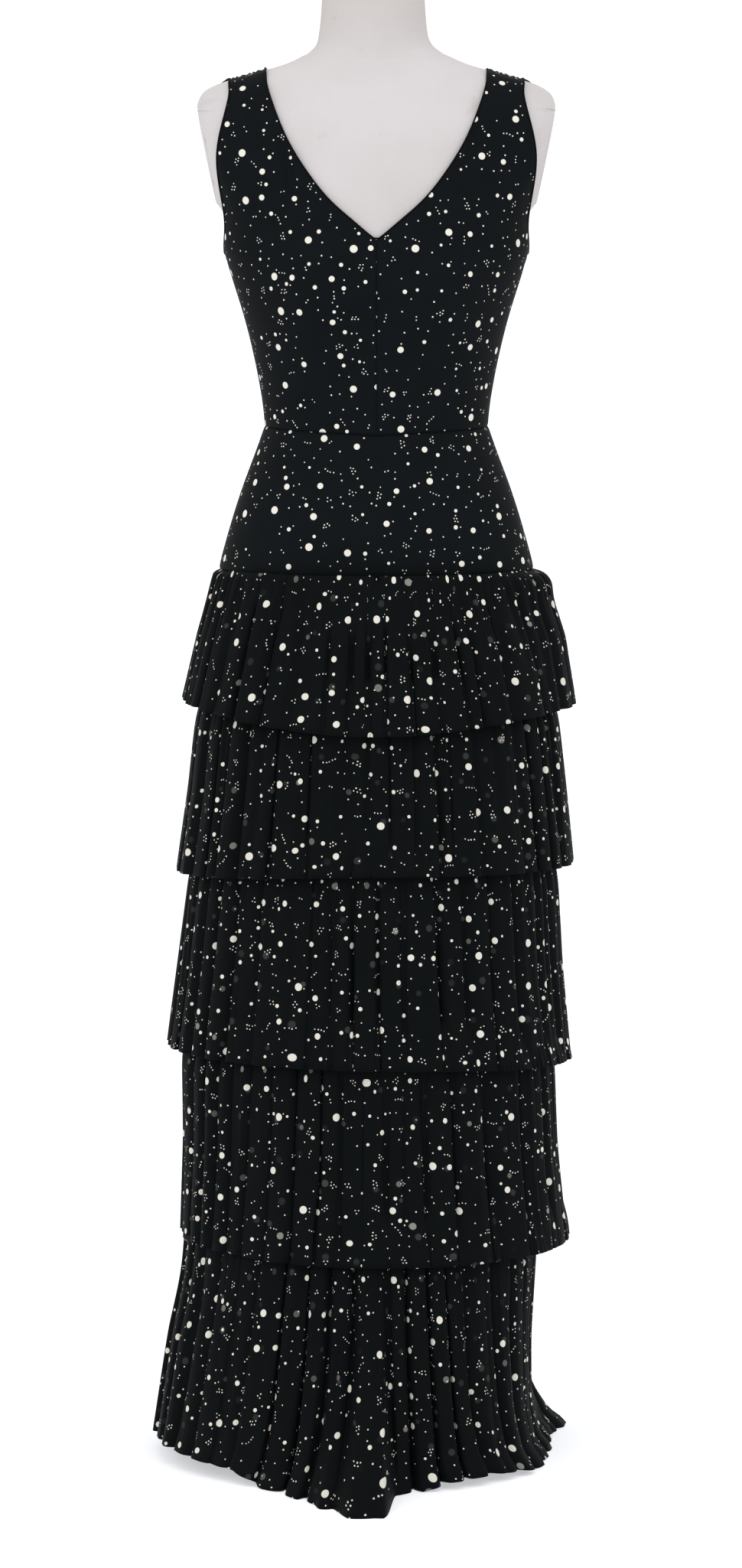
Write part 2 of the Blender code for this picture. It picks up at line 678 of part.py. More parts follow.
def turned(name, profile, steps):
    """Turned piece from a profile that runs down its outer side from the axis to the axis."""
    mesh = bpy.data.meshes.new(name)
    edges = [(i, i + 1) for i in range(len(profile) - 1)]
    mesh.from_pydata([(radius, 0.0, height) for radius, height in profile], edges, [])
    obj = bpy.data.objects.new(name, mesh)
    gown_parts.objects.link(obj)
    screw = obj.modifiers.new("turn", "SCREW")
    screw.steps = steps
    screw.render_steps = steps
    screw.use_merge_vertices = True
    screw.merge_threshold = 0.00005
    screw.use_smooth_shade = False
    return obj


def stand():
    """Round base with a hub, the pole on it, and the flange that carries the form."""
    stand_metal(turned("stand_base", [
        (0.0, HUB_HEIGHT),
        (HUB_RADIUS, HUB_HEIGHT),
        (HUB_RADIUS + HUB_FOOT[0], BASE_EDGE + HUB_FOOT[1]),
        (BASE_RADIUS - RIM_SLOPE[0], BASE_EDGE),
        (BASE_RADIUS, BASE_EDGE - RIM_SLOPE[1]),
        (BASE_RADIUS, 0.0),
        (0.0, 0.0),
    ], BASE_FACETS))
    flange_top = FORM_BOTTOM - SEAM_GAP
    flange_foot = flange_top - FLANGE_THICKNESS
    pole_top = flange_foot - SEAM_GAP
    pole_foot = HUB_HEIGHT + SEAM_GAP
    for name, radius, foot, top in (
            ("stand_flange", FLANGE_RADIUS, flange_foot, flange_top),
            ("stand_pole", POLE_RADIUS, pole_foot, pole_top)):
        profile = [(0.0, top), (radius, top), (radius, foot), (0.0, foot)]
        stand_metal(turned(name, profile, POLE_FACETS))


def zip_strip():
    """Closed zip between the two backs, from the back neckline to the yoke's hem."""
    reach = ZIP_HALF_WIDTH - SEAM_GAP
    rows = [row.centre_height for row in BACK_ROWS if row.centre_height <= BACK_NECK]
    heights = [YOKE_HEM] + YOKE_HEIGHTS[::-1] + rows
    outside, inside = [], []
    for height in heights:
        turn = turn_where(height, 1, lambda p: abs(p.x), reach)
        sides = [math.pi - turn, math.pi + turn]
        ease = fitted_ease(height)
        outside.append([off_form(height, s, ease + ZIP_THICKNESS) for s in sides])
        inside.append([off_form(height, s, ease) for s in sides])
    obj = add_object("back_zip", cloth_wall(outside, inside), smooth=False)
    add_material(obj, "zip_tape", (0.010, 0.010, 0.012), 0.6)


def zip_face(height):
    """Middle of the zip's outer face."""
    return off_form(height, math.pi, fitted_ease(height) + ZIP_THICKNESS)


def box(name, low, high):
    """Box between two corners."""
    size = Vector(high) - Vector(low)
    bpy.ops.mesh.primitive_cube_add(size=1.0)
    obj = bpy.context.object
    obj.name = name
    obj.data.name = name
    obj.data.transform(Matrix.Diagonal((*size, 1.0)))
    obj.data.transform(Matrix.Translation((Vector(low) + Vector(high)) / 2))
    for other in obj.users_collection:
        other.objects.unlink(obj)
    return obj


def combine(obj, other, operation):
    modifier = obj.modifiers.new(operation.lower(), "BOOLEAN")
    modifier.operation = operation
    modifier.object = other
    cutters.objects.link(other)
    other.hide_render = True
    other.display_type = "WIRE"


def zip_slider_and_pull():
    """Slider with its bridge, and the pull that hangs from the bridge."""
    half_x, depth, half_z = SLIDER_SIZE[0] / 2, SLIDER_SIZE[1], SLIDER_SIZE[2] / 2
    back = SEAM_GAP + max(zip_face(SLIDER_HEIGHT + rise).y for rise in (-half_z, 0.0, half_z))
    slider = box("zip_slider", (-half_x, back, SLIDER_HEIGHT - half_z),
                 (half_x, back + depth, SLIDER_HEIGHT + half_z))
    top = back + depth
    half_bridge = BRIDGE_LENGTH / 2
    half_hollow = half_bridge - BRIDGE_BAR
    bridge = box("bridge_block",
                 (-BRIDGE_WIDTH / 2, top - depth / 4, SLIDER_HEIGHT - half_bridge),
                 (BRIDGE_WIDTH / 2, top + BRIDGE_RISE, SLIDER_HEIGHT + half_bridge))
    hollow = box("bridge_hollow", (-BRIDGE_WIDTH, top, SLIDER_HEIGHT - half_hollow),
                 (BRIDGE_WIDTH, top + BRIDGE_RISE - BRIDGE_BAR, SLIDER_HEIGHT + half_hollow))
    combine(slider, bridge, "UNION")
    combine(slider, hollow, "DIFFERENCE")
    gown_parts.objects.link(slider)
    add_material(slider, "zip_metal", (0.02, 0.02, 0.022), 0.4, 0.6)

    pin_y = top + (BRIDGE_RISE - BRIDGE_BAR) / 2
    pull = box("zip_pull", (-PULL_WIDTH / 2, -PULL_THICKNESS / 2, -PULL_LENGTH),
               (PULL_WIDTH / 2, PULL_THICKNESS / 2, PIN_RADIUS))
    eye = box("pull_eye", (-PULL_WIDTH / 2 + PULL_ARM, -PULL_THICKNESS, -PULL_EYE),
              (PULL_WIDTH / 2 - PULL_ARM, PULL_THICKNESS, -PIN_RADIUS))
    combine(pull, eye, "DIFFERENCE")
    hinge = bpy.data.objects.new("zip_pull_hinge", None)
    hinge.location = (0.0, pin_y, SLIDER_HEIGHT)
    gown_parts.objects.link(hinge)
    pull.parent = hinge
    eye.parent = hinge
    gown_parts.objects.link(pull)
    add_material(pull, "zip_metal", (0.02, 0.02, 0.022), 0.4, 0.6)


def build():
    torso()
    armhole_plate("form_plate_left", 1)
    armhole_plate("form_plate_right", -1)
    stand()
    for label, side in (("left", 1), ("right", -1)):
        bodice_quarter("bodice_front_" + label, FRONT_ROWS, -1, side, SEAM_GAP / 2)
        bodice_quarter("bodice_back_" + label, BACK_ROWS, 1, side, ZIP_HALF_WIDTH)
        yoke_panel("yoke_back_" + label, 1, [side])
    yoke_panel("yoke_front", -1, [-1, 1])
    foundation_half("foundation_front", -1)
    foundation_half("foundation_back", 1)
    for number, tier in enumerate(TIERS, start=1):
        tier_half("tier_%d_front" % number, tier, -1)
        tier_half("tier_%d_back" % number, tier, 1)
    zip_strip()
    zip_slider_and_pull()


for old in list(bpy.data.objects):
    bpy.data.objects.remove(old, do_unlink=True)
gown_parts = bpy.data.collections.new("evening_gown_on_dress_form")
cutters = bpy.data.collections.new("cutters")
bpy.context.scene.collection.children.link(gown_parts)
bpy.context.scene.collection.children.link(cutters)
build()
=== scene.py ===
import math
import random

import bmesh
import bpy
import numpy as np
from mathutils import Matrix, Vector, kdtree
from mathutils.bvhtree import BVHTree


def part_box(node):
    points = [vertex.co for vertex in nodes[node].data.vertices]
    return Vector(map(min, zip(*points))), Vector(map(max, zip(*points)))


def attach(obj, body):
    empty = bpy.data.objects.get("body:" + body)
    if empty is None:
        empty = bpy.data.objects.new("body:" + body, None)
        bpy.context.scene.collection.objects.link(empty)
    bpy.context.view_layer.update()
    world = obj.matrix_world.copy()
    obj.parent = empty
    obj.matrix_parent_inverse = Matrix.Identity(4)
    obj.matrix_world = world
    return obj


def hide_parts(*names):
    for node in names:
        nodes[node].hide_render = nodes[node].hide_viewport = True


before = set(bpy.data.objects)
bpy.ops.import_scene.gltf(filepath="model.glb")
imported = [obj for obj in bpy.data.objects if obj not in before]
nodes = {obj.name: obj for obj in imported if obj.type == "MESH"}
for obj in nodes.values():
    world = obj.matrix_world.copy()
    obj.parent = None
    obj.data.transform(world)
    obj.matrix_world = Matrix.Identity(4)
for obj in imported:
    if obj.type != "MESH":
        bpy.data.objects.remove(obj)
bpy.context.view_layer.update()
gownBody, pullBody = "gown_and_form", "zip_pull"


# small helpers

def srgb(code):  # "#e8e4dc" to the linear colour that the shader wants
    levels = [int(code[i:i + 2], 16) / 255 for i in (1, 3, 5)]
    return tuple(c / 12.92 if c <= 0.04045 else ((c + 0.055) / 1.055) ** 2.4
                 for c in levels) + (1.0,)


def addNode(tree, kind, inputs=(), **settings):  # inputs in socket order, or by name or number
    # an input is a value, a socket, or a node that gives its first output
    node = tree.nodes.new("ShaderNode" + kind)
    for name, value in settings.items():
        setattr(node, name, value)
    for key, value in inputs.items() if isinstance(inputs, dict) else enumerate(inputs):
        if isinstance(value, bpy.types.Node):
            value = value.outputs[0]
        if isinstance(value, bpy.types.NodeSocket):
            tree.links.new(value, node.inputs[key])
        else:
            node.inputs[key].default_value = value
    return node


def newMaterial(name, **shaderInputs):
    material = bpy.data.materials.new(name)
    material.use_nodes = True
    shader = material.node_tree.nodes["Principled BSDF"]
    for key, value in shaderInputs.items():
        shader.inputs[key.replace("_", " ")].default_value = value
    return material, material.node_tree, shader


def wear(obj, material, smooth=True):
    obj.data.materials.clear()
    obj.data.materials.append(material)
    if smooth:
        obj.data.shade_smooth()


def activate(obj):
    bpy.ops.object.select_all(action="DESELECT")
    obj.select_set(True)
    bpy.context.view_layer.objects.active = obj


def applyModifiers(obj):
    activate(obj)
    for modifier in list(obj.modifiers):
        bpy.ops.object.modifier_apply(modifier=modifier.name)


def bevelEdges(obj, width, segments, angle=math.radians(30)):
    bevel = obj.modifiers.new("bevel", "BEVEL")
    bevel.width, bevel.segments, bevel.angle_limit = width, segments, angle
    applyModifiers(obj)


def meshObject(name, points, faces):
    mesh = bpy.data.meshes.new(name)
    mesh.from_pydata(points, [], faces)
    obj = bpy.data.objects.new(name, mesh)
    bpy.context.scene.collection.objects.link(obj)
    return obj


def mergedCopy(node, name):  # the CAD node's triangles come loose, so a copy is joined up
    mesh = nodes[node].data.copy()
    mesh.name = name
    mesh.transform(nodes[node].matrix_world)
    joined = bmesh.new()
    joined.from_mesh(mesh)
    bmesh.ops.remove_doubles(joined, verts=joined.verts, dist=1e-6)
    joined.to_mesh(mesh)
    joined.free()
    obj = bpy.data.objects.new(name, mesh)
    bpy.context.scene.collection.objects.link(obj)
    return obj


def smoothStep(low, high, value):
    t = np.clip((value - low) / (high - low), 0.0, 1.0)
    return t * t * (3 - 2 * t)


def bell(distance, width):
    return np.exp(-(distance / width) ** 2)


# camera, light and floor

view = dict(
    place=(-0.0058, -6.0, 1.42),    # metres, a little left of the gown's middle
    pitch=6.4886,                   # degrees below level
    lens=127.03,
)
camera = bpy.data.objects.new("camera", bpy.data.cameras.new("camera"))
camera.location = view["place"]
camera.rotation_euler = (math.radians(90 - view["pitch"]), 0, 0)
camera.data.lens = view["lens"]
camera.data.sensor_width = 36
bpy.context.scene.collection.objects.link(camera)
bpy.context.scene.camera = camera
bpy.context.scene.view_settings.view_transform = "Standard"

studio = dict(
    world="#ffffff", worldStrength=1.12,
    lamps=[  # place, size, watts
        ((-2.6, -3.6, 2.9), 1.8, 29),
        ((2.9, -3.2, 2.6), 2.0, 12),
        ((0.0, -1.5, 4.2), 2.4, 14),
    ],
    aim=(0.0, 0.0, 0.85),
    floorColour="#cdced1", floorGlow=0.48, glowColour="#fbfcff",
    floorWidth=24.0, floorFrom=-15.0, floorTo=12.0,     # metres, in front of the gown and behind
    wallBend=1.6, wallHeight=4.5, bendSteps=12,         # radius of the bend, and the wall above
)
world = bpy.data.worlds.new("studio")
world.use_nodes = True
world.node_tree.nodes["Background"].inputs["Color"].default_value = srgb(studio["world"])
world.node_tree.nodes["Background"].inputs["Strength"].default_value = studio["worldStrength"]
bpy.context.scene.world = world
for number, (place, size, watts) in enumerate(studio["lamps"]):
    light = bpy.data.lights.new("softbox_%d" % number, "AREA")
    light.shape, light.size, light.energy = "SQUARE", size, watts
    lamp = bpy.data.objects.new(light.name, light)
    lamp.location = place
    aim = Vector(studio["aim"]) - lamp.location
    lamp.rotation_euler = aim.to_track_quat("-Z", "Y").to_euler()
    bpy.context.scene.collection.objects.link(lamp)

# seamless paper: flat under the gown, then bent up behind it
bpy.ops.object.select_all(action="DESELECT")
near, far = studio["floorFrom"], studio["floorTo"]
bpy.ops.mesh.primitive_plane_add(size=1, location=(0, 0, 0))
floor = bpy.context.object
floor.name = "floor"
floor.data.transform(Matrix.Translation((0, (near + far) / 2, 0))
                     @ Matrix.Diagonal((studio["floorWidth"], far - near, 1, 1)))
bpy.ops.object.mode_set(mode="EDIT")
bpy.ops.mesh.select_all(action="DESELECT")
bpy.ops.object.mode_set(mode="OBJECT")
for edge in floor.data.edges:   # the edge at the back
    edge.select = all(floor.data.vertices[i].co.y > 0 for i in edge.vertices)
bpy.context.tool_settings.mesh_select_mode = (False, True, False)
bpy.ops.object.mode_set(mode="EDIT")
for step in range(studio["bendSteps"]):
    bend = math.radians(90 * (step + 0.5) / studio["bendSteps"])
    length = studio["wallBend"] * math.radians(90) / studio["bendSteps"]
    bpy.ops.mesh.extrude_region_move(TRANSFORM_OT_translate={
        "value": (0, length * math.cos(bend), length * math.sin(bend))})
bpy.ops.mesh.extrude_region_move(TRANSFORM_OT_translate={"value": (0, 0, studio["wallHeight"])})
bpy.ops.object.mode_set(mode="OBJECT")
# translucent white seamless paper lit from below as well, so its shadows stay pale
paper, _, _ = newMaterial("white_seamless_paper", Base_Color=srgb(studio["floorColour"]),
                          Roughness=0.9, Specular_IOR_Level=0.1,
                          Emission_Color=srgb(studio["glowColour"]),
                          Emission_Strength=studio["floorGlow"])
wear(floor, paper)
print("camera, light and floor are set")


# materials

dots = dict(  # millimetres on the cloth: cell, how far dots stray in it, radii, share of cells
    large=dict(cell=41.0, stray=0.74, radius=(2.7, 4.2), share=0.70),
    medium=dict(cell=27.0, stray=0.76, radius=(1.30, 2.30), share=0.56),
    tiny=dict(cell=14.0, stray=0.80, radius=(0.62, 0.88), share=0.88),
    cluster=dict(cell=28.0, stray=0.36, radius=(0.58, 0.76), share=0.70),
    pitch=3.4, rowPitch=3.1, jitter=1.1, bend=0.05,     # of the dots in one cluster
    oneRow=0.45, steps=(1.0, 3.999),    # share with a single row; steps in a row, rounded down
    redraw=7.3,                         # turns one draw into another
    clusterRoom=6.5, clear=1.4,         # space kept round a cluster, and round any dot
    soft=0.30,                          # width of a dot's soft edge
    ghosts=[  # the print of the layer behind, seen dimly through single cloth
        (dict(cell=36.0, stray=0.8, radius=(2.3, 3.9), share=0.62), 1.3, "#303332"),
        (dict(cell=57.0, stray=0.8, radius=(2.6, 3.9), share=0.38), 0.7, "#7f7d76"),
    ],
)
crepeTones = dict(
    patches=0.03, inkPatches=0.9,   # lighter and darker patches to the millimetre
    grain=0.625, grainDepth=0.0002,  # yarns lie 0.25 mm apart; drawn coarser so that they show
    ivory="#dedbd3", thinIvory="#cbc7ba",
)


def dotCells(tree, place, layer):  # one dot may sit in each cell
    return addNode(tree, "TexVoronoi", {"Vector": place, "Scale": 1 / layer["cell"],
                                        "Randomness": layer["stray"]},
                   voronoi_dimensions="2D").outputs


def clearOf(tree, mask, middle, radius, avoid):  # drops whole dots that lie too near others
    for layer, room in avoid:
        near = dotCells(tree, middle, layer)["Position"]
        gap = addNode(tree, "VectorMath", (middle, near), operation="DISTANCE").outputs["Value"]
        free = addNode(tree, "Math", (gap, room + radius + dots["clear"]),
                       operation="GREATER_THAN")
        mask = addNode(tree, "Math", (mask, free), operation="MULTIPLY")
    return mask


def dotLayer(tree, place, layer, avoid=(), soft=dots["soft"]):
    cells = dotCells(tree, place, layer)
    chance = addNode(tree, "SeparateColor", (cells["Color"],)).outputs
    small, large = layer["radius"]
    radius = addNode(tree, "MapRange", {0: chance[0], 3: small, 4: large})
    away = addNode(tree, "VectorMath", (place, cells["Position"]),
                   operation="DISTANCE").outputs["Value"]
    inside = addNode(tree, "Math", (radius, away), operation="SUBTRACT")
    dot = addNode(tree, "MapRange", {0: inside, 1: -soft / 2, 2: soft / 2})
    kept = addNode(tree, "Math", (chance[1], layer["share"]), operation="LESS_THAN")
    mask = addNode(tree, "Math", (dot, kept), operation="MULTIPLY")
    return clearOf(tree, mask, cells["Position"], large, avoid), chance


def clamped(tree, value, top):  # to the nearest whole number from nought to the top
    whole = addNode(tree, "Math", (value,), operation="ROUND")
    raised = addNode(tree, "Math", (whole, 0.0), operation="MAXIMUM")
    return addNode(tree, "Math", (raised, top), operation="MINIMUM")


def dotClusters(tree, place, avoid):  # short arcs of two to four dots, huddles of three or five
    layer = dots["cluster"]
    cells = dotCells(tree, place, layer)
    chance = addNode(tree, "SeparateColor", (cells["Color"],)).outputs
    angle = addNode(tree, "Math", (chance[0], 2 * math.pi), operation="MULTIPLY")
    local = addNode(tree, "VectorMath", (place, cells["Position"]), operation="SUBTRACT")
    turned = addNode(tree, "VectorRotate", {"Vector": local, "Angle": angle},
                     rotation_type="Z_AXIS")
    parts = addNode(tree, "SeparateXYZ", (turned,)).outputs
    double = addNode(tree, "Math", (chance[1], dots["oneRow"]), operation="GREATER_THAN")
    last = addNode(tree, "MapRange", {0: chance[2], 3: dots["steps"][0], 4: dots["steps"][1]})
    last = addNode(tree, "Math", (last,), operation="FLOOR")
    crowded = addNode(tree, "Math", (last, 2.5), operation="GREATER_THAN")
    crowded = addNode(tree, "Math", (crowded, double), operation="MULTIPLY")
    last = addNode(tree, "Math", (last, crowded), operation="SUBTRACT")

    # row and number of the nearest dot; the second row has one dot fewer
    row = addNode(tree, "Math", (double, 0.5, 0.0), operation="MULTIPLY_ADD")
    row = addNode(tree, "Math", (parts[1], 1 / dots["rowPitch"], row), operation="MULTIPLY_ADD")
    row = clamped(tree, row, double)
    final = addNode(tree, "Math", (last, row), operation="SUBTRACT")
    half = addNode(tree, "Math", (final, 0.5), operation="MULTIPLY")
    number = addNode(tree, "Math", (parts[0], 1 / dots["pitch"], half), operation="MULTIPLY_ADD")
    number = clamped(tree, number, final)

    # middle of that dot
    across = addNode(tree, "Math", (number, half), operation="SUBTRACT")
    across = addNode(tree, "Math", (across, dots["pitch"]), operation="MULTIPLY")
    up = addNode(tree, "Math", (double, -0.5, row), operation="MULTIPLY_ADD")
    bend = addNode(tree, "MapRange", {0: chance[1], 2: dots["oneRow"], 3: -dots["bend"],
                                      4: dots["bend"]})
    single = addNode(tree, "Math", (1.0, double), operation="SUBTRACT")
    bend = addNode(tree, "Math", (bend, single), operation="MULTIPLY")
    square = addNode(tree, "Math", (across, across), operation="MULTIPLY")
    arc = addNode(tree, "Math", (square, bend), operation="MULTIPLY")
    up = addNode(tree, "Math", (up, dots["rowPitch"], arc), operation="MULTIPLY_ADD")
    seed = addNode(tree, "CombineXYZ", (number, row, angle))
    noise = addNode(tree, "TexWhiteNoise", {"Vector": seed}, noise_dimensions="3D").outputs
    stray = addNode(tree, "VectorMath", (noise["Color"], (0.5, 0.5, 0.5)), operation="SUBTRACT")
    stray = addNode(tree, "VectorMath", (stray, (dots["jitter"], dots["jitter"], 0.0)),
                    operation="MULTIPLY")
    middle = addNode(tree, "CombineXYZ", (across, up, 0.0))
    middle = addNode(tree, "VectorMath", (middle, stray), operation="ADD")

    away = addNode(tree, "VectorMath", (turned, middle), operation="DISTANCE").outputs["Value"]
    small, large = layer["radius"]
    radius = addNode(tree, "MapRange", {0: noise["Value"], 3: small, 4: large})
    inside = addNode(tree, "Math", (radius, away), operation="SUBTRACT")
    dot = addNode(tree, "MapRange", {0: inside, 1: -dots["soft"] / 2, 2: dots["soft"] / 2})
    draw = addNode(tree, "Math", (chance[1], dots["redraw"]), operation="MULTIPLY")
    draw = addNode(tree, "Math", (draw,), operation="FRACT")
    kept = addNode(tree, "Math", (draw, layer["share"]), operation="LESS_THAN")
    mask = addNode(tree, "Math", (dot, kept), operation="MULTIPLY")
    back = addNode(tree, "VectorRotate", {"Vector": middle, "Angle": angle},
                   rotation_type="Z_AXIS", invert=True)
    back = addNode(tree, "VectorMath", (back, cells["Position"]), operation="ADD")
    return clearOf(tree, mask, back, large, avoid)


def crepe(name, black, ivory=None, sheer=False):
    # polyester crepe: matt, close woven from twisted yarn, so it has a fine pebbled grain;
    # it is printed where an ivory is given
    material, tree, shader = newMaterial(
        name, Roughness=0.70, Specular_IOR_Level=0.04, Sheen_Weight=0.006, Sheen_Roughness=0.5)
    cloth = addNode(tree, "UVMap", uv_map="cloth")
    place = addNode(tree, "VectorMath", {0: cloth, "Scale": 1000.0},
                    operation="SCALE")                            # millimetres on the flat cloth
    slow = addNode(tree, "TexNoise", {"Vector": place, "Scale": crepeTones["patches"],
                                      "Detail": 2.0})
    colour = addNode(tree, "Mix", {0: slow, 6: srgb(black[0]), 7: srgb(black[1])},
                     data_type="RGBA").outputs[2]
    if sheer:
        for layer, soft, tone in dots["ghosts"]:
            ghost, chance = dotLayer(tree, place, layer, soft=soft)
            faint = addNode(tree, "Math", (chance[2], ghost), operation="MULTIPLY")
            colour = addNode(tree, "Mix", {0: faint, 6: colour, 7: srgb(tone)},
                             data_type="RGBA").outputs[2]
    if ivory:
        large, medium, cluster = dots["large"], dots["medium"], dots["cluster"]
        nearLarge, nearMedium = (large, large["radius"][1]), (medium, medium["radius"][1])
        masks = [dotLayer(tree, place, large)[0],
                 dotLayer(tree, place, medium, [nearLarge])[0],
                 dotLayer(tree, place, dots["tiny"],
                          [nearLarge, nearMedium, (cluster, dots["clusterRoom"])])[0],
                 dotClusters(tree, place, [nearLarge, nearMedium])]
        mask = masks[0]
        for layer in masks[1:]:
            mask = addNode(tree, "Math", (mask, layer), operation="MAXIMUM")
        uneven = addNode(tree, "TexNoise", {"Vector": place, "Scale": crepeTones["inkPatches"],
                                            "Detail": 1.0})
        ink = addNode(tree, "Mix", {0: uneven, 6: srgb(ivory), 7: srgb(crepeTones["thinIvory"])},
                      data_type="RGBA").outputs[2]
        colour = addNode(tree, "Mix", {0: mask, 6: colour, 7: ink}, data_type="RGBA").outputs[2]
    tree.links.new(colour, shader.inputs["Base Color"])
    grain = addNode(tree, "TexNoise", {"Vector": place, "Scale": 1 / crepeTones["grain"],
                                       "Detail": 2.0})
    bump = addNode(tree, "Bump", {"Height": grain, "Strength": 0.25,
                                  "Distance": crepeTones["grainDepth"]})
    tree.links.new(bump.outputs[0], shader.inputs["Normal"])
    return material


covers = dict(blotches=9.0, marks=42.0,     # to the metre
              wavePeriod=6.283,             # of one thread, in the wave texture's own units
              shadow=0.965, depth=0.0002)   # light that a hollow of the weave keeps, its depth


def wovenCover(name, light, shade, stainAndShadeTone, thread, marks, paintedShade=(0.0, 1.0, 0.0)):
    # plain woven cover: threads both ways, slight blotches, a few old marks, and painted shade
    # that makes it darker and warmer between two heights and above them
    material, tree, shader = newMaterial(name, Roughness=0.9, Specular_IOR_Level=0.2,
                                         Sheen_Weight=0.04)
    place = addNode(tree, "TexCoord").outputs["Object"]
    blotch = addNode(tree, "TexNoise", {"Vector": place, "Scale": covers["blotches"],
                                        "Detail": 4.0})
    ramp = addNode(tree, "MapRange", {0: blotch, 1: 0.35, 2: 0.75})
    colour = addNode(tree, "Mix", {0: ramp, 6: srgb(light), 7: srgb(shade)},
                     data_type="RGBA").outputs[2]
    fleck = addNode(tree, "TexNoise", {"Vector": place, "Scale": covers["marks"], "Detail": 3.0})
    stain = addNode(tree, "MapRange", {0: fleck, 1: 0.66, 2: 0.80, 4: marks})
    height = addNode(tree, "SeparateXYZ", (place,)).outputs[2]
    # painted shade: from the first height to the second the stain tone is laid on, up to the given
    # share, and stays so above
    paintedShadeShare = addNode(tree, "MapRange", {0: height, 1: paintedShade[0], 2: paintedShade[1], 4: paintedShade[2]})
    for amount in (stain, paintedShadeShare):
        colour = addNode(tree, "Mix", {0: amount, 6: colour, 7: srgb(stainAndShadeTone)},
                         data_type="RGBA").outputs[2]
    waves = [addNode(tree, "TexWave", {"Vector": place, "Distortion": 1.2, "Detail": 1.0,
                                       "Scale": 1 / (thread * covers["wavePeriod"])},
                     bands_direction=way).outputs[1] for way in ("Z", "X")]
    weave = addNode(tree, "Math", waves, operation="ADD")
    shading = addNode(tree, "MapRange", {0: weave, 2: 2.0, 3: covers["shadow"], 4: 1.0})
    colour = addNode(tree, "Mix", {0: 1.0, 6: colour, 7: shading},
                     data_type="RGBA", blend_type="MULTIPLY").outputs[2]
    tree.links.new(colour, shader.inputs["Base Color"])
    bump = addNode(tree, "Bump", {"Height": weave, "Strength": 0.3, "Distance": covers["depth"]})
    tree.links.new(bump.outputs[0], shader.inputs["Normal"])
    return material


coat = dict(clouds=55.0, peel=700.0, peelDepth=0.0002,     # the first two to the metre
            smoother=0.08, rougher=0.12)


def coatedMetal(name, tone, roughness, metallic):
    # smooth coat with faint marks of handling, a little rougher in places
    material, tree, shader = newMaterial(name, Base_Color=srgb(tone), Metallic=metallic,
                                         Roughness=roughness)
    place = addNode(tree, "TexCoord").outputs["Object"]
    cloud = addNode(tree, "TexNoise", {"Vector": place, "Scale": coat["clouds"], "Detail": 5.0})
    rough = addNode(tree, "MapRange", {0: cloud, 1: 0.3, 2: 0.7, 3: roughness - coat["smoother"],
                                       4: roughness + coat["rougher"]})
    tree.links.new(rough.outputs[0], shader.inputs["Roughness"])
    peel = addNode(tree, "TexNoise", {"Vector": place, "Scale": coat["peel"], "Detail": 1.0})
    bump = addNode(tree, "Bump", {"Height": peel, "Strength": 0.12, "Distance": coat["peelDepth"]})
    tree.links.new(bump.outputs[0], shader.inputs["Normal"])
    return material


printedCrepe = crepe("printed_crepe", ("#0a0d0f", "#0e1214"), crepeTones["ivory"])
# the tiers hang free, so the print of the layer behind shows through them
sheerCrepe = crepe("printed_crepe_single_layer", ("#06090a", "#0a0d0e"), "#cfccc4", sheer=True)
plainCrepe = crepe("crepe_roll", ("#07080a", "#0b0c0e"))
# bleached linen, threads 0.7 mm apart
# painted shade on the neck: darker and warmer from 1.515 m up, a fifth of the way to the stain tone
linenCover = wovenCover("linen_form_cover", "#c3bfc0", "#bbb6b4", "#a29486", 0.0007, 0.35,
                        paintedShade=(1.515, 1.575, 0.20))
# black polyester zip tape, woven in fine ribs
zipTape = wovenCover("black_zip_tape", "#131316", "#0e0e11", "#1a1a1c", 0.0006, 0.1)
greySteel = coatedMetal("grey_satin_painted_steel", "#b9babb", 0.40, 0.0)
blackMetal = coatedMetal("black_lacquered_zip_metal", "#202124", 0.42, 0.6)
print("materials are made")


# fitted panels: bodice, yoke and the foundation skirt under the tiers

skins = dict(
    edgeAngle=math.radians(50),     # a wall's outward side ends where it bends by more
    cornerAngle=math.radians(40),   # corners of the cut this sharp stay sharp
    anyAngle=3.1,                   # radians: triangles become quads however they bend
    passes=4,                       # until the smooth surface meets the CAD's points
)


def outerSkin(node, name):  # keeps the outward side of a CAD cloth wall, as a sheet of quads
    obj = mergedCopy(node, name)
    skin = bmesh.new()
    skin.from_mesh(obj.data)
    left, regions = set(skin.faces), []
    while left:
        region, front = set(), [left.pop()]
        while front:
            face = front.pop()
            region.add(face)
            for edge in face.edges:
                if len(edge.link_faces) == 2 and edge.calc_face_angle(9) < skins["edgeAngle"]:
                    for other in edge.link_faces:
                        if other in left:
                            left.discard(other)
                            front.append(other)
        regions.append(region)

    def outward(region):
        return sum(f.normal.dot(Vector((*f.calc_center_median().xy, 0))) * f.calc_area()
                   for f in region)

    best = max(regions, key=outward)
    bmesh.ops.delete(skin, geom=[f for f in skin.faces if f not in best], context="FACES")
    bmesh.ops.join_triangles(skin, faces=skin.faces, angle_face_threshold=skins["anyAngle"],
                             angle_shape_threshold=skins["anyAngle"])
    sharp = skin.verts.layers.float.new("crease_vert")    # keeps the corners of the cut
    for vertex in skin.verts:
        rim = [e.other_vert(vertex).co - vertex.co for e in vertex.link_edges if e.is_boundary]
        if len(rim) == 2 and rim[0].angle(-rim[1]) > skins["cornerAngle"]:
            vertex[sharp] = 1.0
    skin.to_mesh(obj.data)
    skin.free()
    return obj


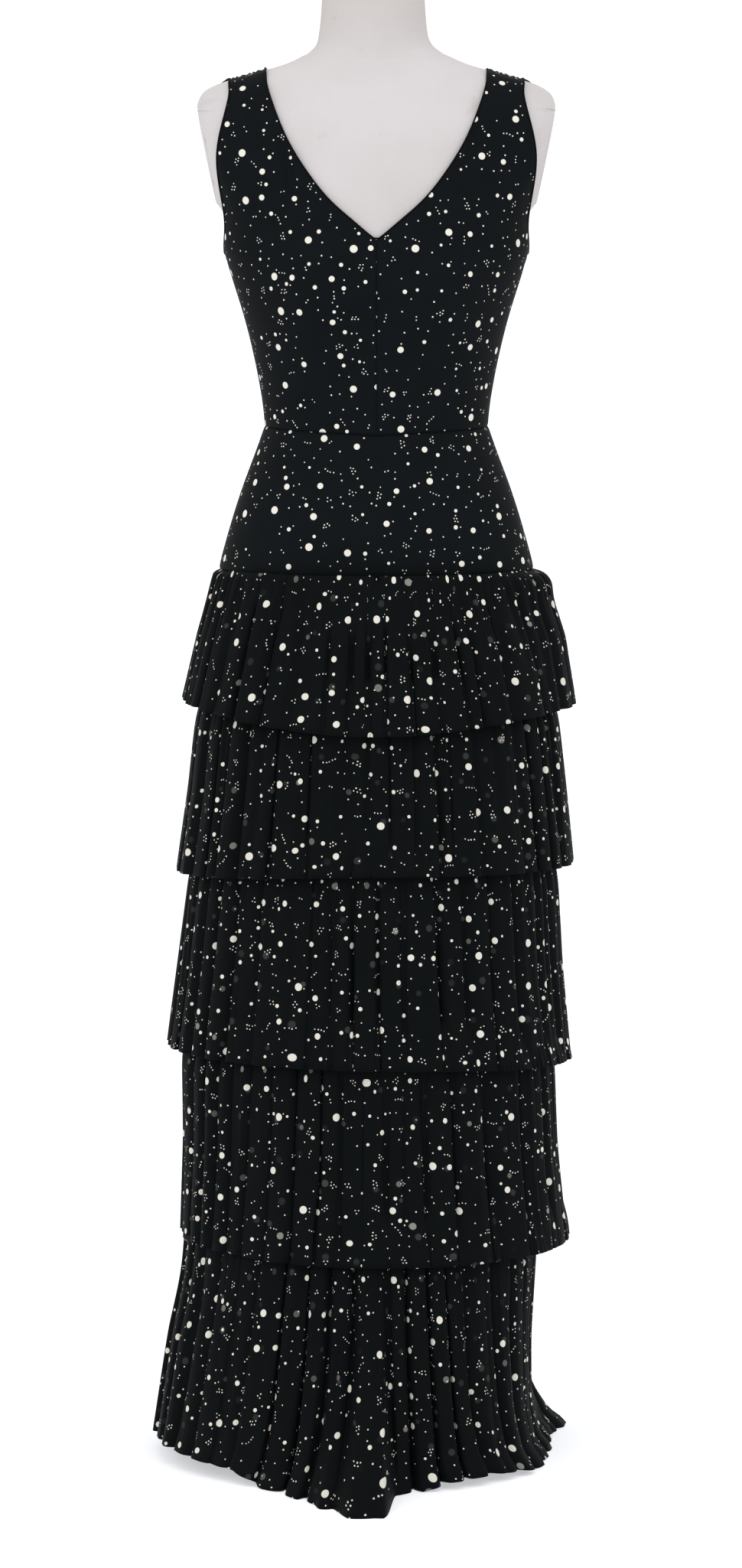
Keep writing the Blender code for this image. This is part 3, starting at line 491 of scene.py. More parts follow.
def subdivide(obj, levels):  # rounds the facets, while the surface still meets the CAD's points
    modifier = obj.modifiers.new("smooth", "SUBSURF")
    modifier.levels = modifier.render_levels = levels
    modifier.boundary_smooth = "PRESERVE_CORNERS"
    target = [v.co.copy() for v in obj.data.vertices]
    for _ in range(skins["passes"]):
        bpy.context.view_layer.update()
        smooth = obj.evaluated_get(bpy.context.evaluated_depsgraph_get()).data
        misses = [point - smooth.vertices[i].co for i, point in enumerate(target)]
        for vertex, miss in zip(obj.data.vertices, misses):
            vertex.co += miss
        obj.data.update()
    applyModifiers(obj)


def unwrapToMetres(obj, shift):  # flat pattern of the panel, one unit to the metre
    activate(obj)
    while obj.data.uv_layers:
        obj.data.uv_layers.remove(obj.data.uv_layers[0])
    obj.data.uv_layers.new(name="cloth")
    bpy.ops.object.mode_set(mode="EDIT")
    bpy.ops.mesh.select_all(action="SELECT")
    bpy.ops.uv.unwrap(method="ANGLE_BASED", margin=0)
    bpy.ops.object.mode_set(mode="OBJECT")
    mesh = obj.data
    uv = np.zeros(len(mesh.loops) * 2)
    mesh.uv_layers["cloth"].uv.foreach_get("vector", uv)
    uv = uv.reshape(-1, 2)
    flat = solid = 0.0
    for polygon in mesh.polygons:
        corner = uv[polygon.loop_start:polygon.loop_start + polygon.loop_total]
        x, y = corner[:, 0], corner[:, 1]
        flat += abs(np.dot(x, np.roll(y, 1)) - np.dot(y, np.roll(x, 1))) / 2
        solid += polygon.area
    uv = uv * math.sqrt(solid / flat) + np.array(shift)
    mesh.uv_layers["cloth"].uv.foreach_set("vector", uv.ravel())
    return solid


def moveAlongNormals(obj, amount):  # amount(place) in metres, one number for each vertex
    mesh = obj.data
    points = [v.co.copy() for v in mesh.vertices]
    normals = [v.normal.copy() for v in mesh.vertices]
    for vertex, point, normal in zip(mesh.vertices, points, normals):
        vertex.co = point + normal * float(amount(point))
    mesh.update()


def openEdge(obj):  # vertices of the sheet's open edges
    count = {}
    for polygon in obj.data.polygons:
        for key in polygon.edge_keys:
            count[key] = count.get(key, 0) + 1
    rim = {i for key, times in count.items() if times == 1 for i in key}
    return [obj.data.vertices[i] for i in rim]


def pointTree(points):
    tree = kdtree.KDTree(len(points))
    for i, point in enumerate(points):
        tree.insert(point, i)
    tree.balance()
    return tree


def thicken(obj, wall):
    modifier = obj.modifiers.new("wall", "SOLIDIFY")
    modifier.thickness, modifier.offset = wall, -1.0
    applyModifiers(obj)


fitted = dict(
    wall=0.0009, levels=3, hungLevels=2, seamSnap=0.0008,
    waist=(1.113, 1.1315), shoulder=1.49,   # heights between and above which those seams lie
    centreSeam=0.0035, sideSeam=0.0002,     # how near the middle and the side plane those lie
    seamSink=0.0006, seamWidth=0.0020,      # a sewn seam pulls the cloth in beside it
    strapCrease=0.0026, strapWidth=0.0050,  # soft crease from the strap down to the bust
    strapLip=0.5,                           # height of the rise beside it, against its depth
    dartSink=0.0007, dartWidth=0.0020,
    gatherRise=0.0006, gatherPitch=0.0058, gatherReach=0.013,   # at the shoulder seams,
    gatherBelow=0.012, gatherShift=1.4, gatherWaves=330,        # how far down, and how uneven
    tuck=0.0007,                            # the yoke's edge lies behind the bodice's
    vPoint=(1.3335, 0.0040, 0.024),         # height, how far it is pulled down, and its reach
    room=(1.15, 1.05), hungRoom=1.01,       # the cloth that a panel is cut from, against its box
    printStep=(0.71, 0.37), hungPrint=(6.1, 4.3),   # where the panels lie on the print
)
strapCreases = [  # from and to, in the front view, metres across and up
    ((-0.104, 1.452), (-0.084, 1.365)),
    ((0.108, 1.462), (0.096, 1.400)),
]
darts = [((-0.0735, 1.195), (-0.070, 1.123)), ((0.0735, 1.195), (0.070, 1.123))]


def nearLine(point, start, end):  # distance to a line in the front view, and the share along it
    a, b, p = (Vector((q[0], q[1])) for q in (start, end, (point.x, point.z)))
    along = b - a
    share = (p - a).dot(along) / along.length_squared
    return (p - a - along * max(0.0, min(1.0, share))).length, share


def fittedDetail(point, seams):
    rise = -fitted["seamSink"] * bell(seams.find(point)[2], fitted["seamWidth"])
    if point.y < 0:
        for start, end in strapCreases:
            gap, share = nearLine(point, start, end)
            fade = max(0.0, 1 - abs(2 * share - 1) ** 2) * fitted["strapCrease"]
            rise -= fade * bell(gap, fitted["strapWidth"])
            rise += (fitted["strapLip"] * fade
                     * bell(gap - 2 * fitted["strapWidth"], fitted["strapWidth"]))
    for start, end in darts:
        gap, share = nearLine(point, start, end)
        if -0.1 < share < 1.1:
            rise -= fitted["dartSink"] * bell(gap, fitted["dartWidth"]) * min(
                1.0, max(0.0, share * 2))
    if point.z > fitted["shoulder"] - fitted["gatherBelow"]:
        swing = math.sin(2 * math.pi * point.x / fitted["gatherPitch"]
                         + fitted["gatherShift"] * math.sin(point.x * fitted["gatherWaves"]))
        rise += fitted["gatherRise"] * swing * bell(point.y, fitted["gatherReach"])
    return rise


def snapToSeams(panel):  # puts the panel's edges on the centre and side seam lines
    for vertex in openEdge(panel):
        for axis in (0, 1):
            if abs(vertex.co[axis]) < fitted["seamSnap"]:
                vertex.co[axis] = 0.0


def closeSeams(panel, node):  # shapes the V's point and tucks the yoke under the bodice
    height, pull, reach = fitted["vPoint"]
    if node.startswith("bodice_front"):
        for vertex in panel.data.vertices:
            vertex.co.z -= pull * bell(math.hypot(vertex.co.x, vertex.co.z - height), reach)
    for vertex in openEdge(panel):
        if node.startswith("yoke") and fitted["waist"][0] < vertex.co.z < fitted["waist"][1]:
            inward = -Vector((vertex.co.x, vertex.co.y, 0)).normalized()
            vertex.co += inward * fitted["tuck"] + Vector((0, 0, fitted["tuck"]))


def sewnEdges(panel, node):  # pulls the cloth in at its seams, and keeps the edges on them
    snapToSeams(panel)
    closeSeams(panel, node)
    low, high = fitted["waist"]
    seamPoints = [v.co.copy() for v in openEdge(panel) if low < v.co.z < high
                  or abs(v.co.x) < fitted["centreSeam"] or abs(v.co.y) < fitted["sideSeam"]]
    seams = pointTree(seamPoints)
    moveAlongNormals(panel, lambda point: fittedDetail(point, seams))
    snapToSeams(panel)
    return [v.co.copy() for v in openEdge(panel)]


panelEdges = {}
printX, printY = fitted["printStep"]
panelNodes = [n for n in nodes if n.startswith(("bodice_", "yoke_"))]
for number, node in enumerate(panelNodes + ["foundation_front", "foundation_back"]):
    hung = node.startswith("foundation")
    panel = outerSkin(node, node + "_cloth")
    subdivide(panel, fitted["hungLevels" if hung else "levels"])
    if not hung:
        panelEdges[node] = sewnEdges(panel, node)
    onPrint = fitted["hungPrint"] if hung else (number * printX, number * printY)
    area = unwrapToMetres(panel, onPrint)
    thicken(panel, fitted["wall"])
    wear(panel, plainCrepe if hung else printedCrepe)
    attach(panel, gownBody)
    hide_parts(node)
print("bodice, yoke and foundation are made")


# narrow rolls that bind the neckline and the armholes

rolls = dict(
    radius=0.0010, sides=8, seam=0.0008,
    neckSide=0.14,                  # the neckline lies nearer the middle, the armholes beyond
    lowest=1.30, underarm=1.32,     # heights above which they lie, and below which they meet
    flare=1.6,                      # turns the rolls a little more to the front and back
    same=4e-4,                      # points nearer than this are one
)


def edgeChain(node, inner):  # edge points from the bottom up to the shoulder, neck or armhole
    points = panelEdges[node]
    onShoulder = [p for p in points if abs(p.y) < rolls["seam"] and p.z > fitted["shoulder"]]
    corner = (min if inner else max)(onShoulder, key=lambda p: abs(p.x))
    free = [p for p in points if abs(p.y) > rolls["seam"] and p.z > rolls["lowest"]
            and (abs(p.x) < rolls["neckSide"]) == inner]
    if inner:   # the centre seam or the zip ends where the neckline begins
        seamTop = max((p for p in points if abs(p.x) < fitted["centreSeam"]), key=lambda p: p.z)
        free = [p for p in free if p.z >= seamTop.z - 1e-6 and abs(p.x) >= abs(seamTop.x)]
    else:
        free += [max((p for p in points if abs(p.y) < rolls["seam"] and p.z < rolls["underarm"]),
                     key=lambda p: p.z)]
    return sorted(set(p.freeze() for p in free + [corner]), key=lambda p: p.z)


def rollAlong(name, chain, closed):
    sides, count = rolls["sides"], len(chain)
    points, faces, lengths, total = [], [], [], 0.0
    for i, point in enumerate(chain):
        before = chain[i - 1] if i or closed else point
        after = chain[(i + 1) % count] if i < count - 1 or closed else point
        along = (after - before).normalized()
        out = Vector((point.x, point.y * rolls["flare"], 0.0)).normalized()
        out = (out - along * out.dot(along)).normalized()
        side = along.cross(out)
        total += (point - before).length if i else 0.0
        lengths.append(total)
        for s in range(sides):
            turn = 2 * math.pi * s / sides
            points.append(point + rolls["radius"] * (out * math.cos(turn) + side * math.sin(turn)))
    for i in range(count if closed else count - 1):
        j = (i + 1) % count
        for s in range(sides):
            t = (s + 1) % sides
            faces.append((i * sides + s, i * sides + t, j * sides + t, j * sides + s))
    if not closed:
        faces.append(tuple(range(sides))[::-1])
        faces.append(tuple(range((count - 1) * sides, count * sides)))
    roll = meshObject(name, points, faces)
    layer = roll.data.uv_layers.new(name="cloth")
    for loop in roll.data.loops:
        ring, s = divmod(loop.vertex_index, sides)
        layer.uv[loop.index].vector = (lengths[ring], s * 2 * math.pi * rolls["radius"] / sides)
    fixed = bmesh.new()
    fixed.from_mesh(roll.data)
    bmesh.ops.recalc_face_normals(fixed, faces=fixed.faces)
    fixed.to_mesh(roll.data)
    fixed.free()
    wear(roll, plainCrepe)
    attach(roll, gownBody)


def joinedChain(first, second):  # leaves out the point that both share
    return first + [p for p in second if (p - first[-1]).length > rolls["same"]
                    and (p - first[0]).length > rolls["same"]]


rollAlong("neckline_roll_front", joinedChain(edgeChain("bodice_front_left", True)[::-1],
                                             edgeChain("bodice_front_right", True)), False)
for side in ("left", "right"):
    rollAlong("neckline_roll_back_" + side, edgeChain("bodice_back_" + side, True), False)
    rollAlong("armhole_roll_" + side, joinedChain(edgeChain("bodice_front_" + side, False),
                                                  edgeChain("bodice_back_" + side, False)[::-1]),
              True)
print("rolled edges are made")


# tiers

tiers = dict(
    wall=0.0009, clear=0.0014, puff=0.0034, floorClear=0.0008,
    blur=(1.7, 1.2),     # of the solid's facets, in columns and in rows
    inset=0.0006,        # how far inside the solid's head and hem its form is read
    sideInset=0.004, sideCalm=0.035,    # radians: the same at the side seams, and no lean there
    rimLevel=0.006, rimFacing=-0.6,     # a face of the solid's lower rim is level and faces down
    calm=0.85,           # most that the solid's own folds are flattened, in uneven stretches
    calmWaves=(3, 5, 8), calmFrom=-0.8, calmFull=1.2, calmBlur=15,      # the last in columns
    keep=[(math.pi / 2, 0.35), (-math.pi / 2, 0.35)],   # turn and reach of stretches left as is
    keepLow=[(0.0, 0.28), (1.25, 0.30)],                # and more of them in the lowest tier
    floorSpread=(0.011, 0.0), spreadFrom=0.92,  # it spreads on the floor, less on the right,
    restFull=0.007, restAt=0.12, restReach=0.16,    # and stands fuller there under its head
    headRows=1.35,       # power that draws the top tier's rows up to its head
    headTuck=(0.0004, 0.0012), yokeProbe=0.002,     # how far it lies behind the yoke's hem
    headStep=0.005,      # drop in which it comes out from there
    headPuff=0.0045, puffAt=0.012, puffReach=0.016,     # how much fuller it is on the left
    measuredAt=0.7,      # share of the height where a strip's length is measured
    printStep=(1.7, 0.63), printBack=0.9,       # where the strips lie on the print
)
tierList = [  # gathers sewn into the head, the share of the height where they end, and how
              # much the hem hangs lower all round, or higher at the left and right sides
    dict(number=5, seed=35, gathers=60, gatherEnd=0.25, columns=560, rows=36,
         lower=0.0045, lift=(0.0, 0.009)),
    dict(number=4, seed=34, gathers=60, gatherEnd=0.25, columns=500, rows=28,
         lower=0.0, lift=(0.011, 0.0)),
    dict(number=3, seed=33, gathers=60, gatherEnd=0.25, columns=500, rows=28,
         lower=0.0, lift=(0.0, 0.0)),
    dict(number=2, seed=32, gathers=60, gatherEnd=0.25, columns=500, rows=28,
         lower=0.0, lift=(0.0, 0.0)),
    dict(number=1, seed=31, gathers=150, gatherEnd=0.45, columns=660, rows=32,
         lower=0.0, lift=(0.0, 0.005)),
]
folding = dict(  # a pair is a range to draw from, a list a choice; widths and depths in metres,
                 # turns in radians, start and end in shares of the tier's height
    gather=dict(stray=0.38, drift=0.02, width=(0.0014, 0.0028), depth=(0.0010, 0.0030),
                start=-0.2, end=(0.30, 1.25), lip=0.5, spread=1.6),
    soft=dict(count=30, stray=0.45, drift=0.03, sway=0.008, waves=(0.8, 1.6),
              width=(0.0030, 0.0075), depth=(0.0012, 0.0046), start=(-0.3, 0.45),
              end=(0.7, 1.7), lip=(0.0, 0.7), spread=1.7),
    fine=dict(count=120, drift=0.03, width=(0.0014, 0.0026), depth=(0.0003, 0.0010),
              start=(-0.1, 0.8), end=(0.25, 0.75), lip=0.0, spread=1.3),   # end from its start
    own=dict(fromShare=0.55, reach=6, least=0.0025, apart=0.02, drift=2, blur=2.0,
             width=(0.0026, 0.0046), depth=(0.0, 0.0035), start=(-0.3, 0.1), end=1.6,
             lip=[0.35, 0.9, 1.25], spread=1.35),   # the solid's; reach and drift in columns
    fadeIn=0.12, fadeOut=(0.25, 0.05),      # in which a trough begins and ends
    narrow=0.6, round=1.6,                  # its width at the head, and how blunt it is
    lipAt=1.2, widest=5,                    # in widths: where its lip leans over, its reach
)


def solidTree(obj):
    mesh = obj.data
    return BVHTree.FromPolygons([v.co.copy() for v in mesh.vertices],
                                [list(p.vertices) for p in mesh.polygons])


def outsideRadius(tree, turn, height):  # distance from the pole to the outside of a solid
    reach = Vector((math.sin(turn), -math.cos(turn), 0))
    hit = tree.ray_cast(reach * 0.6 + Vector((0, 0, height)), -reach)[0]
    return hit.xy.length if hit else None


def softened(rows, sigma, axis):  # blur that keeps the ends and the slope at the ends
    size = max(1, int(3 * sigma))
    weights = np.exp(-0.5 * (np.arange(-size, size + 1) / sigma) ** 2)
    weights /= weights.sum()
    values = np.moveaxis(rows, axis, -1)
    first, last = values[..., :1], values[..., -1:]
    before = 2 * first - values[..., size:0:-1]
    after = 2 * last - values[..., -2:-size - 2:-1]
    padded = np.concatenate([before, values, after], axis=-1)
    result = np.apply_along_axis(lambda line: np.convolve(line, weights, "valid"), -1, padded)
    return np.moveaxis(result, -1, axis)


def wrapped(angle):
    return (angle + math.pi) % (2 * math.pi) - math.pi


def hemCurve(mesh, middleTurn):  # turn and height of the solid's lower rim
    middle = sum(v.co.z for v in mesh.vertices) / len(mesh.vertices)
    found = {}
    for polygon in mesh.polygons:
        heights = [mesh.vertices[i].co.z for i in polygon.vertices]
        level = max(heights) - min(heights) < tiers["rimLevel"]
        if level and polygon.normal.z < tiers["rimFacing"] and max(heights) < middle:
            for i in polygon.vertices:
                point = mesh.vertices[i].co
                turn = middleTurn + wrapped(math.atan2(point.x, -point.y) - middleTurn)
                found[round(turn, 5)] = point.z
    turns = sorted(found)
    return np.array(turns), np.array([found[t] for t in turns])


def drawn(chance, value):
    if isinstance(value, list):
        return chance.choice(value)
    return chance.uniform(*value) if isinstance(value, tuple) else value


def trough(chance, kind, path, start=None, endFrom=0.0, endShare=1.0):
    width, depth = drawn(chance, kind["width"]), drawn(chance, kind["depth"])
    start = drawn(chance, kind["start"]) if start is None else start
    end = endFrom + endShare * drawn(chance, kind["end"])
    side = chance.choice((-1, 1))
    return dict(path=path, width=width, depth=depth, start=start, end=end, side=side,
                lip=drawn(chance, kind["lip"]), spread=kind["spread"])


def solidHollows(turns, shares, radius, chance):  # follows the solid's own hollows down the tier
    kind = folding["own"]
    reach, drift = kind["reach"], kind["drift"]
    start = int(kind["fromShare"] * (len(shares) - 1))
    row = radius[start]
    folds = []
    for c in range(reach, len(turns) - reach):
        near = row[c - reach:c + reach + 1]
        if row[c] > near.min() or max(near[0], near[-1]) - row[c] < kind["least"]:
            continue
        if folds and abs(turns[c] - folds[-1]["path"][start]) < kind["apart"]:
            continue
        path = np.full(len(shares), turns[c])
        for rows in (range(start - 1, -1, -1), range(start + 1, len(shares))):
            column = c
            for r in rows:
                low, high = max(0, column - drift), min(len(turns), column + drift + 1)
                column = low + int(np.argmin(radius[r, low:high]))
                path[r] = turns[column]
        folds.append(trough(chance, kind, softened(path, kind["blur"], 0)))
    return folds


def calmness(tier, turns):  # by how much the solid's folds are flattened at each turn
    chance = random.Random(tier["seed"] + 7)
    swell = sum(np.sin(turns * waves + chance.uniform(0, 2 * math.pi))
                for waves in tiers["calmWaves"])
    calm = tiers["calm"] * smoothStep(tiers["calmFrom"], tiers["calmFull"], swell)
    for turn, reach in tiers["keep"] + (tiers["keepLow"] if tier["number"] == 5 else []):
        calm = calm * (1 - bell(wrapped(turns - turn), reach))
    return calm


def foldList(tier, shares):
    chance = random.Random(tier["seed"])
    folds = []

    def either(reach):
        return chance.uniform(-reach, reach)

    kind = folding["gather"]
    for i in range(tier["gathers"]):  # close gathers under the seam
        turn = 2 * math.pi * (i + either(kind["stray"])) / tier["gathers"]
        path = turn + either(kind["drift"]) * shares
        folds.append(trough(chance, kind, path, endShare=tier["gatherEnd"]))
    kind = folding["soft"]
    for i in range(kind["count"]):  # folds that run on to the hem or fade before it
        turn = 2 * math.pi * (i + either(kind["stray"])) / kind["count"]
        sway = either(kind["sway"]) * np.sin(math.pi * shares * drawn(chance, kind["waves"]))
        folds.append(trough(chance, kind, turn + either(kind["drift"]) * shares + sway))
    kind = folding["fine"]
    for i in range(kind["count"]):  # short shallow creases between them
        start = drawn(chance, kind["start"])
        path = chance.uniform(0, 2 * math.pi) + either(kind["drift"]) * shares
        folds.append(trough(chance, kind, path, start=start, endFrom=start))
    return folds


def foldShape(folds, turns, shares, radius):  # depth of the troughs, and how their lips lean over
    depth = np.zeros((len(shares), len(turns)))
    slide = np.zeros_like(depth)
    fade, (early, late), narrow = folding["fadeIn"], folding["fadeOut"], folding["narrow"]
    for fold in folds:
        envelope = (smoothStep(fold["start"] - fade, fold["start"] + fade, shares)
                    * (1 - smoothStep(fold["end"] - early, fold["end"] + late, shares)))
        if envelope.max() < 0.01:
            continue
        growth = narrow + (fold["spread"] - narrow) * np.clip(shares, 0, 1)
        width = fold["width"] * growth[:, None]
        away = wrapped(turns[None, :] - fold["path"][:, None]) * radius
        if not (np.abs(away) < folding["widest"] * width.max()).any():
            continue
        depth += (envelope[:, None] * fold["depth"]
                  * np.exp(-np.abs(away / width) ** folding["round"]))
        slide -= (fold["side"] * fold["lip"] * width * envelope[:, None]
                  * bell(away - fold["side"] * folding["lipAt"] * width, width))
    return depth, slide


def sampledRadius(tree, turns, heights, lowest, head):  # the solid's own form
    radius = np.zeros_like(heights)
    for r in range(heights.shape[0]):
        for c in range(heights.shape[1]):
            z = min(head - tiers["inset"], max(lowest[c] + tiers["inset"], heights[r, c]))
            found = outsideRadius(tree, turns[c], z)
            radius[r, c] = found if found else radius[r, c - 1]
    return radius


def innerRadius(turns, heights):  # reach of whatever hangs under the tier, at each fourth column
    reach = np.zeros_like(heights)
    for shell in innerShells:
        for r in range(heights.shape[0]):
            for c in range(0, heights.shape[1], 4):
                found = outsideRadius(shell, turns[c], heights[r, c])
                if found:
                    span = slice(max(0, c - 4), c + 5)
                    reach[r, span] = np.maximum(reach[r, span], found)
    return reach


def fromUnderYoke(radius, heights, inside, left, head):  # the top tier's head
    behind, turnedIn = tiers["headTuck"]
    for c, turn in enumerate(inside):
        found = max(filter(None, (outsideRadius(t, turn, yokeHem + tiers["yokeProbe"])
                                  for t in yokeTrees)), default=radius[0, c])
        drop = head - heights[:, c]
        out = smoothStep(0.0, tiers["headStep"], drop)
        full = tiers["headPuff"] * left[c] ** 6 * bell(drop - tiers["puffAt"], tiers["puffReach"])
        radius[:, c] = (found - behind) * (1 - out) + (radius[:, c] + full) * out
    radius[0] -= turnedIn
    heights[0] += turnedIn


def clothStrip(name, x, y, heights, head, shift):  # the sheet, and its length along the folds
    rows, count = heights.shape[0] - 1, heights.shape[1]
    points = np.stack([x, y, heights], axis=-1).reshape(-1, 3)
    faces = [(r * count + c, (r + 1) * count + c, (r + 1) * count + c + 1, r * count + c + 1)
             for r in range(rows) for c in range(count - 1)]
    sheet = meshObject(name, points.tolist(), faces)
    sheet.data.update()
    # the strip's own coordinates: along the cloth, and down from the head
    row = int(rows * tiers["measuredAt"])
    step = np.hypot(np.diff(x[row]), np.diff(y[row]))
    along = np.concatenate([[0.0], np.cumsum(step)])
    drop = head - heights
    flat = np.stack([np.broadcast_to(along, drop.shape), drop], axis=-1).reshape(-1, 2)
    flat = flat + np.array(shift)
    index = np.zeros(len(sheet.data.loops), dtype=np.int64)
    sheet.data.loops.foreach_get("vertex_index", index)
    sheet.data.uv_layers.new(name="cloth").uv.foreach_set("vector", flat[index].ravel())
    return sheet, float(along[-1])


innerShells = [solidTree(nodes["foundation_front"]), solidTree(nodes["foundation_back"])]
yokeTrees = [solidTree(nodes[n]) for n in nodes if n.startswith("yoke_")]
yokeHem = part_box("yoke_front")[0].z
quarter, sideInset = math.pi / 2, tiers["sideInset"]
for tier in tierList:
    topTier, lowTier = tier["number"] == 1, tier["number"] == 5
    shares = np.linspace(0.0, 1.0, tier["rows"] + 1) ** (tiers["headRows"] if topTier else 1.0)
    folds = foldList(tier, shares)
    chance = random.Random(tier["seed"] + 100)
    built = []
    for part, middle in (("front", 0.0), ("back", math.pi)):
        node = "tier_%d_%s" % (tier["number"], part)
        solid = nodes[node]
        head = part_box(node)[1].z
        turns = np.linspace(middle - quarter, middle + quarter, tier["columns"] + 1)
        rim = np.interp(turns, *hemCurve(solid.data, middle))
        left, right = np.clip(np.sin(turns), 0, 1), np.clip(-np.sin(turns), 0, 1)
        lowest = np.maximum(tiers["floorClear"], rim - tier["lower"] + tier["lift"][0] * left ** 2
                            + tier["lift"][1] * right ** 8)
        heights = head + (lowest[None, :] - head) * shares[:, None]
        inside = np.clip(turns, middle - quarter + sideInset, middle + quarter - sideInset)
        radius = sampledRadius(solidTree(solid), inside, heights, rim, head)
        radius = softened(softened(radius, tiers["blur"][0], 1), tiers["blur"][1], 0)

        own = solidHollows(turns, shares, radius, chance)
        radius += (softened(radius, tiers["calmBlur"], 1) - radius) * calmness(tier, turns)
        depth, slide = foldShape(folds + own, turns, shares, radius)
        radius = radius + tiers["puff"] - depth
        if lowTier:
            most, least = tiers["floorSpread"]
            radius += (np.outer(smoothStep(tiers["spreadFrom"], 1.0, shares),
                                most - (most - least) * right ** 2)
                       + tiers["restFull"] * np.outer(
                           bell(shares - tiers["restAt"], tiers["restReach"]), right ** 4))
        radius = np.maximum(radius, innerRadius(turns, heights) + tiers["clear"])
        if topTier:
            fromUnderYoke(radius, heights, inside, left, head)
        leaning = smoothStep(0.0, tiers["sideCalm"], quarter - np.abs(wrapped(turns - middle)))
        angle = turns[None, :] + slide * leaning[None, :] / radius

        x, y = radius * np.sin(angle), -radius * np.cos(angle)
        y[:, 0] = y[:, -1] = 0.0
        shift = (tier["number"] * tiers["printStep"][0] + (part == "back") * tiers["printBack"],
                 tier["number"] * tiers["printStep"][1])
        sheet, length = clothStrip(node + "_cloth", x, y, heights, head, shift)
        built.append(solidTree(sheet))
        thicken(sheet, tiers["wall"])
        wear(sheet, sheerCrepe)
        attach(sheet, gownBody)
        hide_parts(node)
    innerShells += built
print("tiers are made")


# zip: tape, coil teeth, slider and pull

zipper = dict(
    pitch=0.0015, tooth=(0.0032, 0.0008, 0.0010), toothBevel=0.0002,
    low=0.978, high=1.3995,     # heights of the first tooth, and of the closed slider
    slope=0.004,                # rise over which the tape's lean is read
    proud=0.2,                  # share of a tooth's thickness that its middle stands out
    edge=0.00015, edgeAngle=math.radians(40), smoothAngle=math.radians(35),     # metal pieces
    wall=0.0008, tapePrint=(9.3, 2.1),
)
tape = outerSkin("back_zip", "back_zip_tape")   # a narrow woven tape, so it is no cut sheet
unwrapToMetres(tape, zipper["tapePrint"])
thicken(tape, zipper["wall"])
wear(tape, zipTape)
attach(tape, gownBody)
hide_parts("back_zip")

bpy.ops.object.select_all(action="DESELECT")
bpy.ops.mesh.primitive_cube_add(size=1)
tooth = bpy.context.object
tooth.data.transform(Matrix.Diagonal((*zipper["tooth"], 1)))
bevelEdges(tooth, zipper["toothBevel"], 1)
zipTree = solidTree(nodes["back_zip"])
teeth = []
height = zipper["low"]
while height < zipper["high"]:
    copy = tooth.copy()
    copy.data = tooth.data.copy()
    here = outsideRadius(zipTree, math.pi, height)
    above = outsideRadius(zipTree, math.pi, height + zipper["slope"])
    lean = math.atan2(above - here, zipper["slope"])
    copy.data.transform(Matrix.Translation((0, here + zipper["proud"] * zipper["tooth"][1], height))
                        @ Matrix.Rotation(-lean, 4, "X"))
    bpy.context.scene.collection.objects.link(copy)
    teeth.append(copy)
    height += zipper["pitch"]
bpy.data.objects.remove(tooth, do_unlink=True)
bpy.ops.object.select_all(action="DESELECT")
for tooth in teeth:
    tooth.select_set(True)
bpy.context.view_layer.objects.active = teeth[0]
bpy.ops.object.join()
teeth[0].name = "zip_teeth"
wear(teeth[0], zipTape, smooth=False)
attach(teeth[0], gownBody)

for node, body in (("zip_slider", gownBody), ("zip_pull", pullBody)):
    piece = mergedCopy(node, node + "_metal")
    bevelEdges(piece, zipper["edge"], 2, zipper["edgeAngle"])
    wear(piece, blackMetal, smooth=False)
    bpy.ops.object.shade_smooth_by_angle(angle=zipper["smoothAngle"])
    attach(piece, body)
    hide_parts(node)
print("zip is made")


# dress form and its stand

form = dict(
    levels=2, quadAngle=0.6, endCrease=0.8,
    seamDepth=0.0008, seamWidth=0.0016, seamHeight=1.528,
    seamDip=0.12,       # drop of the neck's seam to the front, for each metre forwards
    edge=0.0008, edgeAngle=math.radians(35),
    plate=((1.366, 0.1720), (1.466, 0.1925)),   # height and reach of its outer face
    recess=0.0063, cutHalf=0.030,       # depth of the recess round it, and its half width
    below=0.006, above=0.0035,          # how far past the plate the cover fills it,
    behind=0.0004, rim=0.005,           # to just behind the plate's face, from a soft rim
    softFrom=(1.345, 1.375), softTo=(1.474, 1.490), softness=5, softShare=0.5,
    neckShift=-0.0033, neckFrom=(1.515, 1.550),
)
torso = mergedCopy("form_torso", "form_torso_cover")
skin = bmesh.new()
skin.from_mesh(torso.data)
bmesh.ops.join_triangles(skin, faces=skin.faces, angle_face_threshold=form["quadAngle"],
                         angle_shape_threshold=skins["anyAngle"])
crease = skin.edges.layers.float.new("crease_edge")
ends = (min(v.co.z for v in skin.verts), max(v.co.z for v in skin.verts))
for edge in skin.edges:
    if any(all(abs(v.co.z - end) < 1e-5 for v in edge.verts) for end in ends):
        edge[crease] = form["endCrease"]
skin.to_mesh(torso.data)
skin.free()
subdivide(torso, form["levels"])

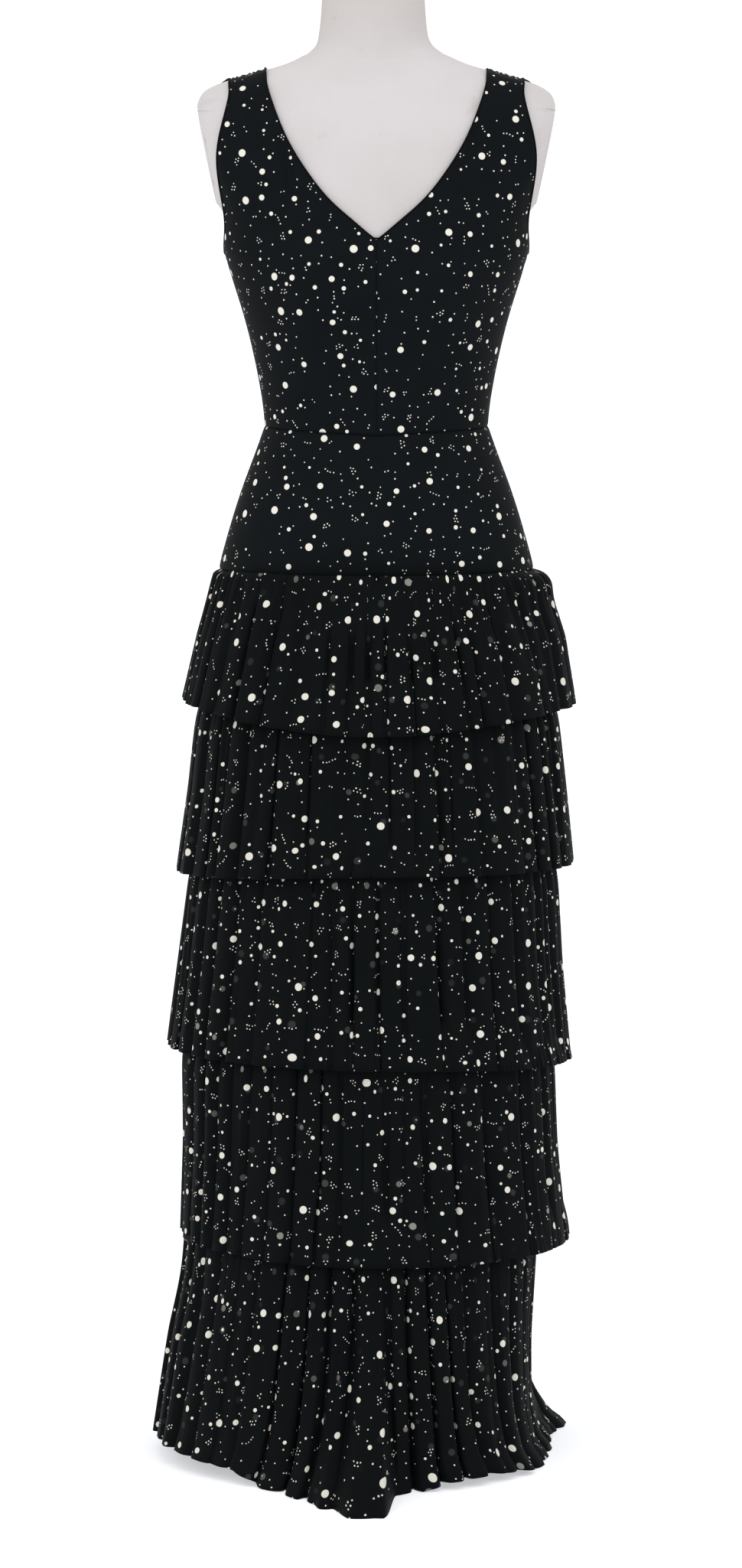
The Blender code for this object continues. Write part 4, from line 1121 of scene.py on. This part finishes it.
# the cover fills the shallow recess round each armhole plate
(lowZ, lowX), (highZ, highX) = form["plate"]
cut, curved, reach = [], [], []
for vertex in torso.data.vertices:
    if lowZ - form["below"] < vertex.co.z < highZ + form["above"]:
        face = lowX + (vertex.co.z - lowZ) * (highX - lowX) / (highZ - lowZ)
        middle = abs(vertex.co.y) < form["cutHalf"] and abs(vertex.co.x) > face - 2 * form["recess"]
        if middle or abs(vertex.co.x) > face - form["recess"]:
            cut.append(vertex)
            reach.append(max(abs(vertex.co.x), face - form["behind"]))
        else:
            curved.append(vertex)
rimTree = pointTree([vertex.co for vertex in curved])
for vertex, full in zip(cut, reach):
    share = float(smoothStep(0.0, form["rim"], rimTree.find(vertex.co)[2]))
    vertex.co.x = math.copysign(abs(vertex.co.x) * (1 - share) + full * share, vertex.co.x)
group = torso.vertex_groups.new(name="shoulders")
for vertex in torso.data.vertices:
    share = float(smoothStep(*form["softFrom"], vertex.co.z)
                  * (1 - smoothStep(*form["softTo"], vertex.co.z)))
    group.add([vertex.index], share, "REPLACE")
    vertex.co.x += form["neckShift"] * float(smoothStep(*form["neckFrom"], vertex.co.z))
soft = torso.modifiers.new("soft shoulders", "SMOOTH")
soft.factor, soft.iterations = form["softShare"], form["softness"]
soft.vertex_group = "shoulders"
applyModifiers(torso)
torso.vertex_groups.clear()


def neckSeam(point):  # groove where the neck's cover joins the shoulders
    height = form["seamHeight"] + form["seamDip"] * point.y
    return -form["seamDepth"] * bell(point.z - height, form["seamWidth"])


moveAlongNormals(torso, neckSeam)
wear(torso, linenCover)
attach(torso, gownBody)
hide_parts("form_torso")

for node in ("form_plate_left", "form_plate_right", "stand_base", "stand_pole", "stand_flange"):
    plate = node.startswith("form")
    piece = mergedCopy(node, node + "_finished")
    bevelEdges(piece, form["edge"], 2, form["edgeAngle"])
    wear(piece, linenCover if plate else greySteel,
         smooth=False)
    bpy.ops.object.shade_smooth_by_angle(angle=form["edgeAngle"])
    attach(piece, gownBody)
    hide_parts(node)
print("dress form and stand are made")
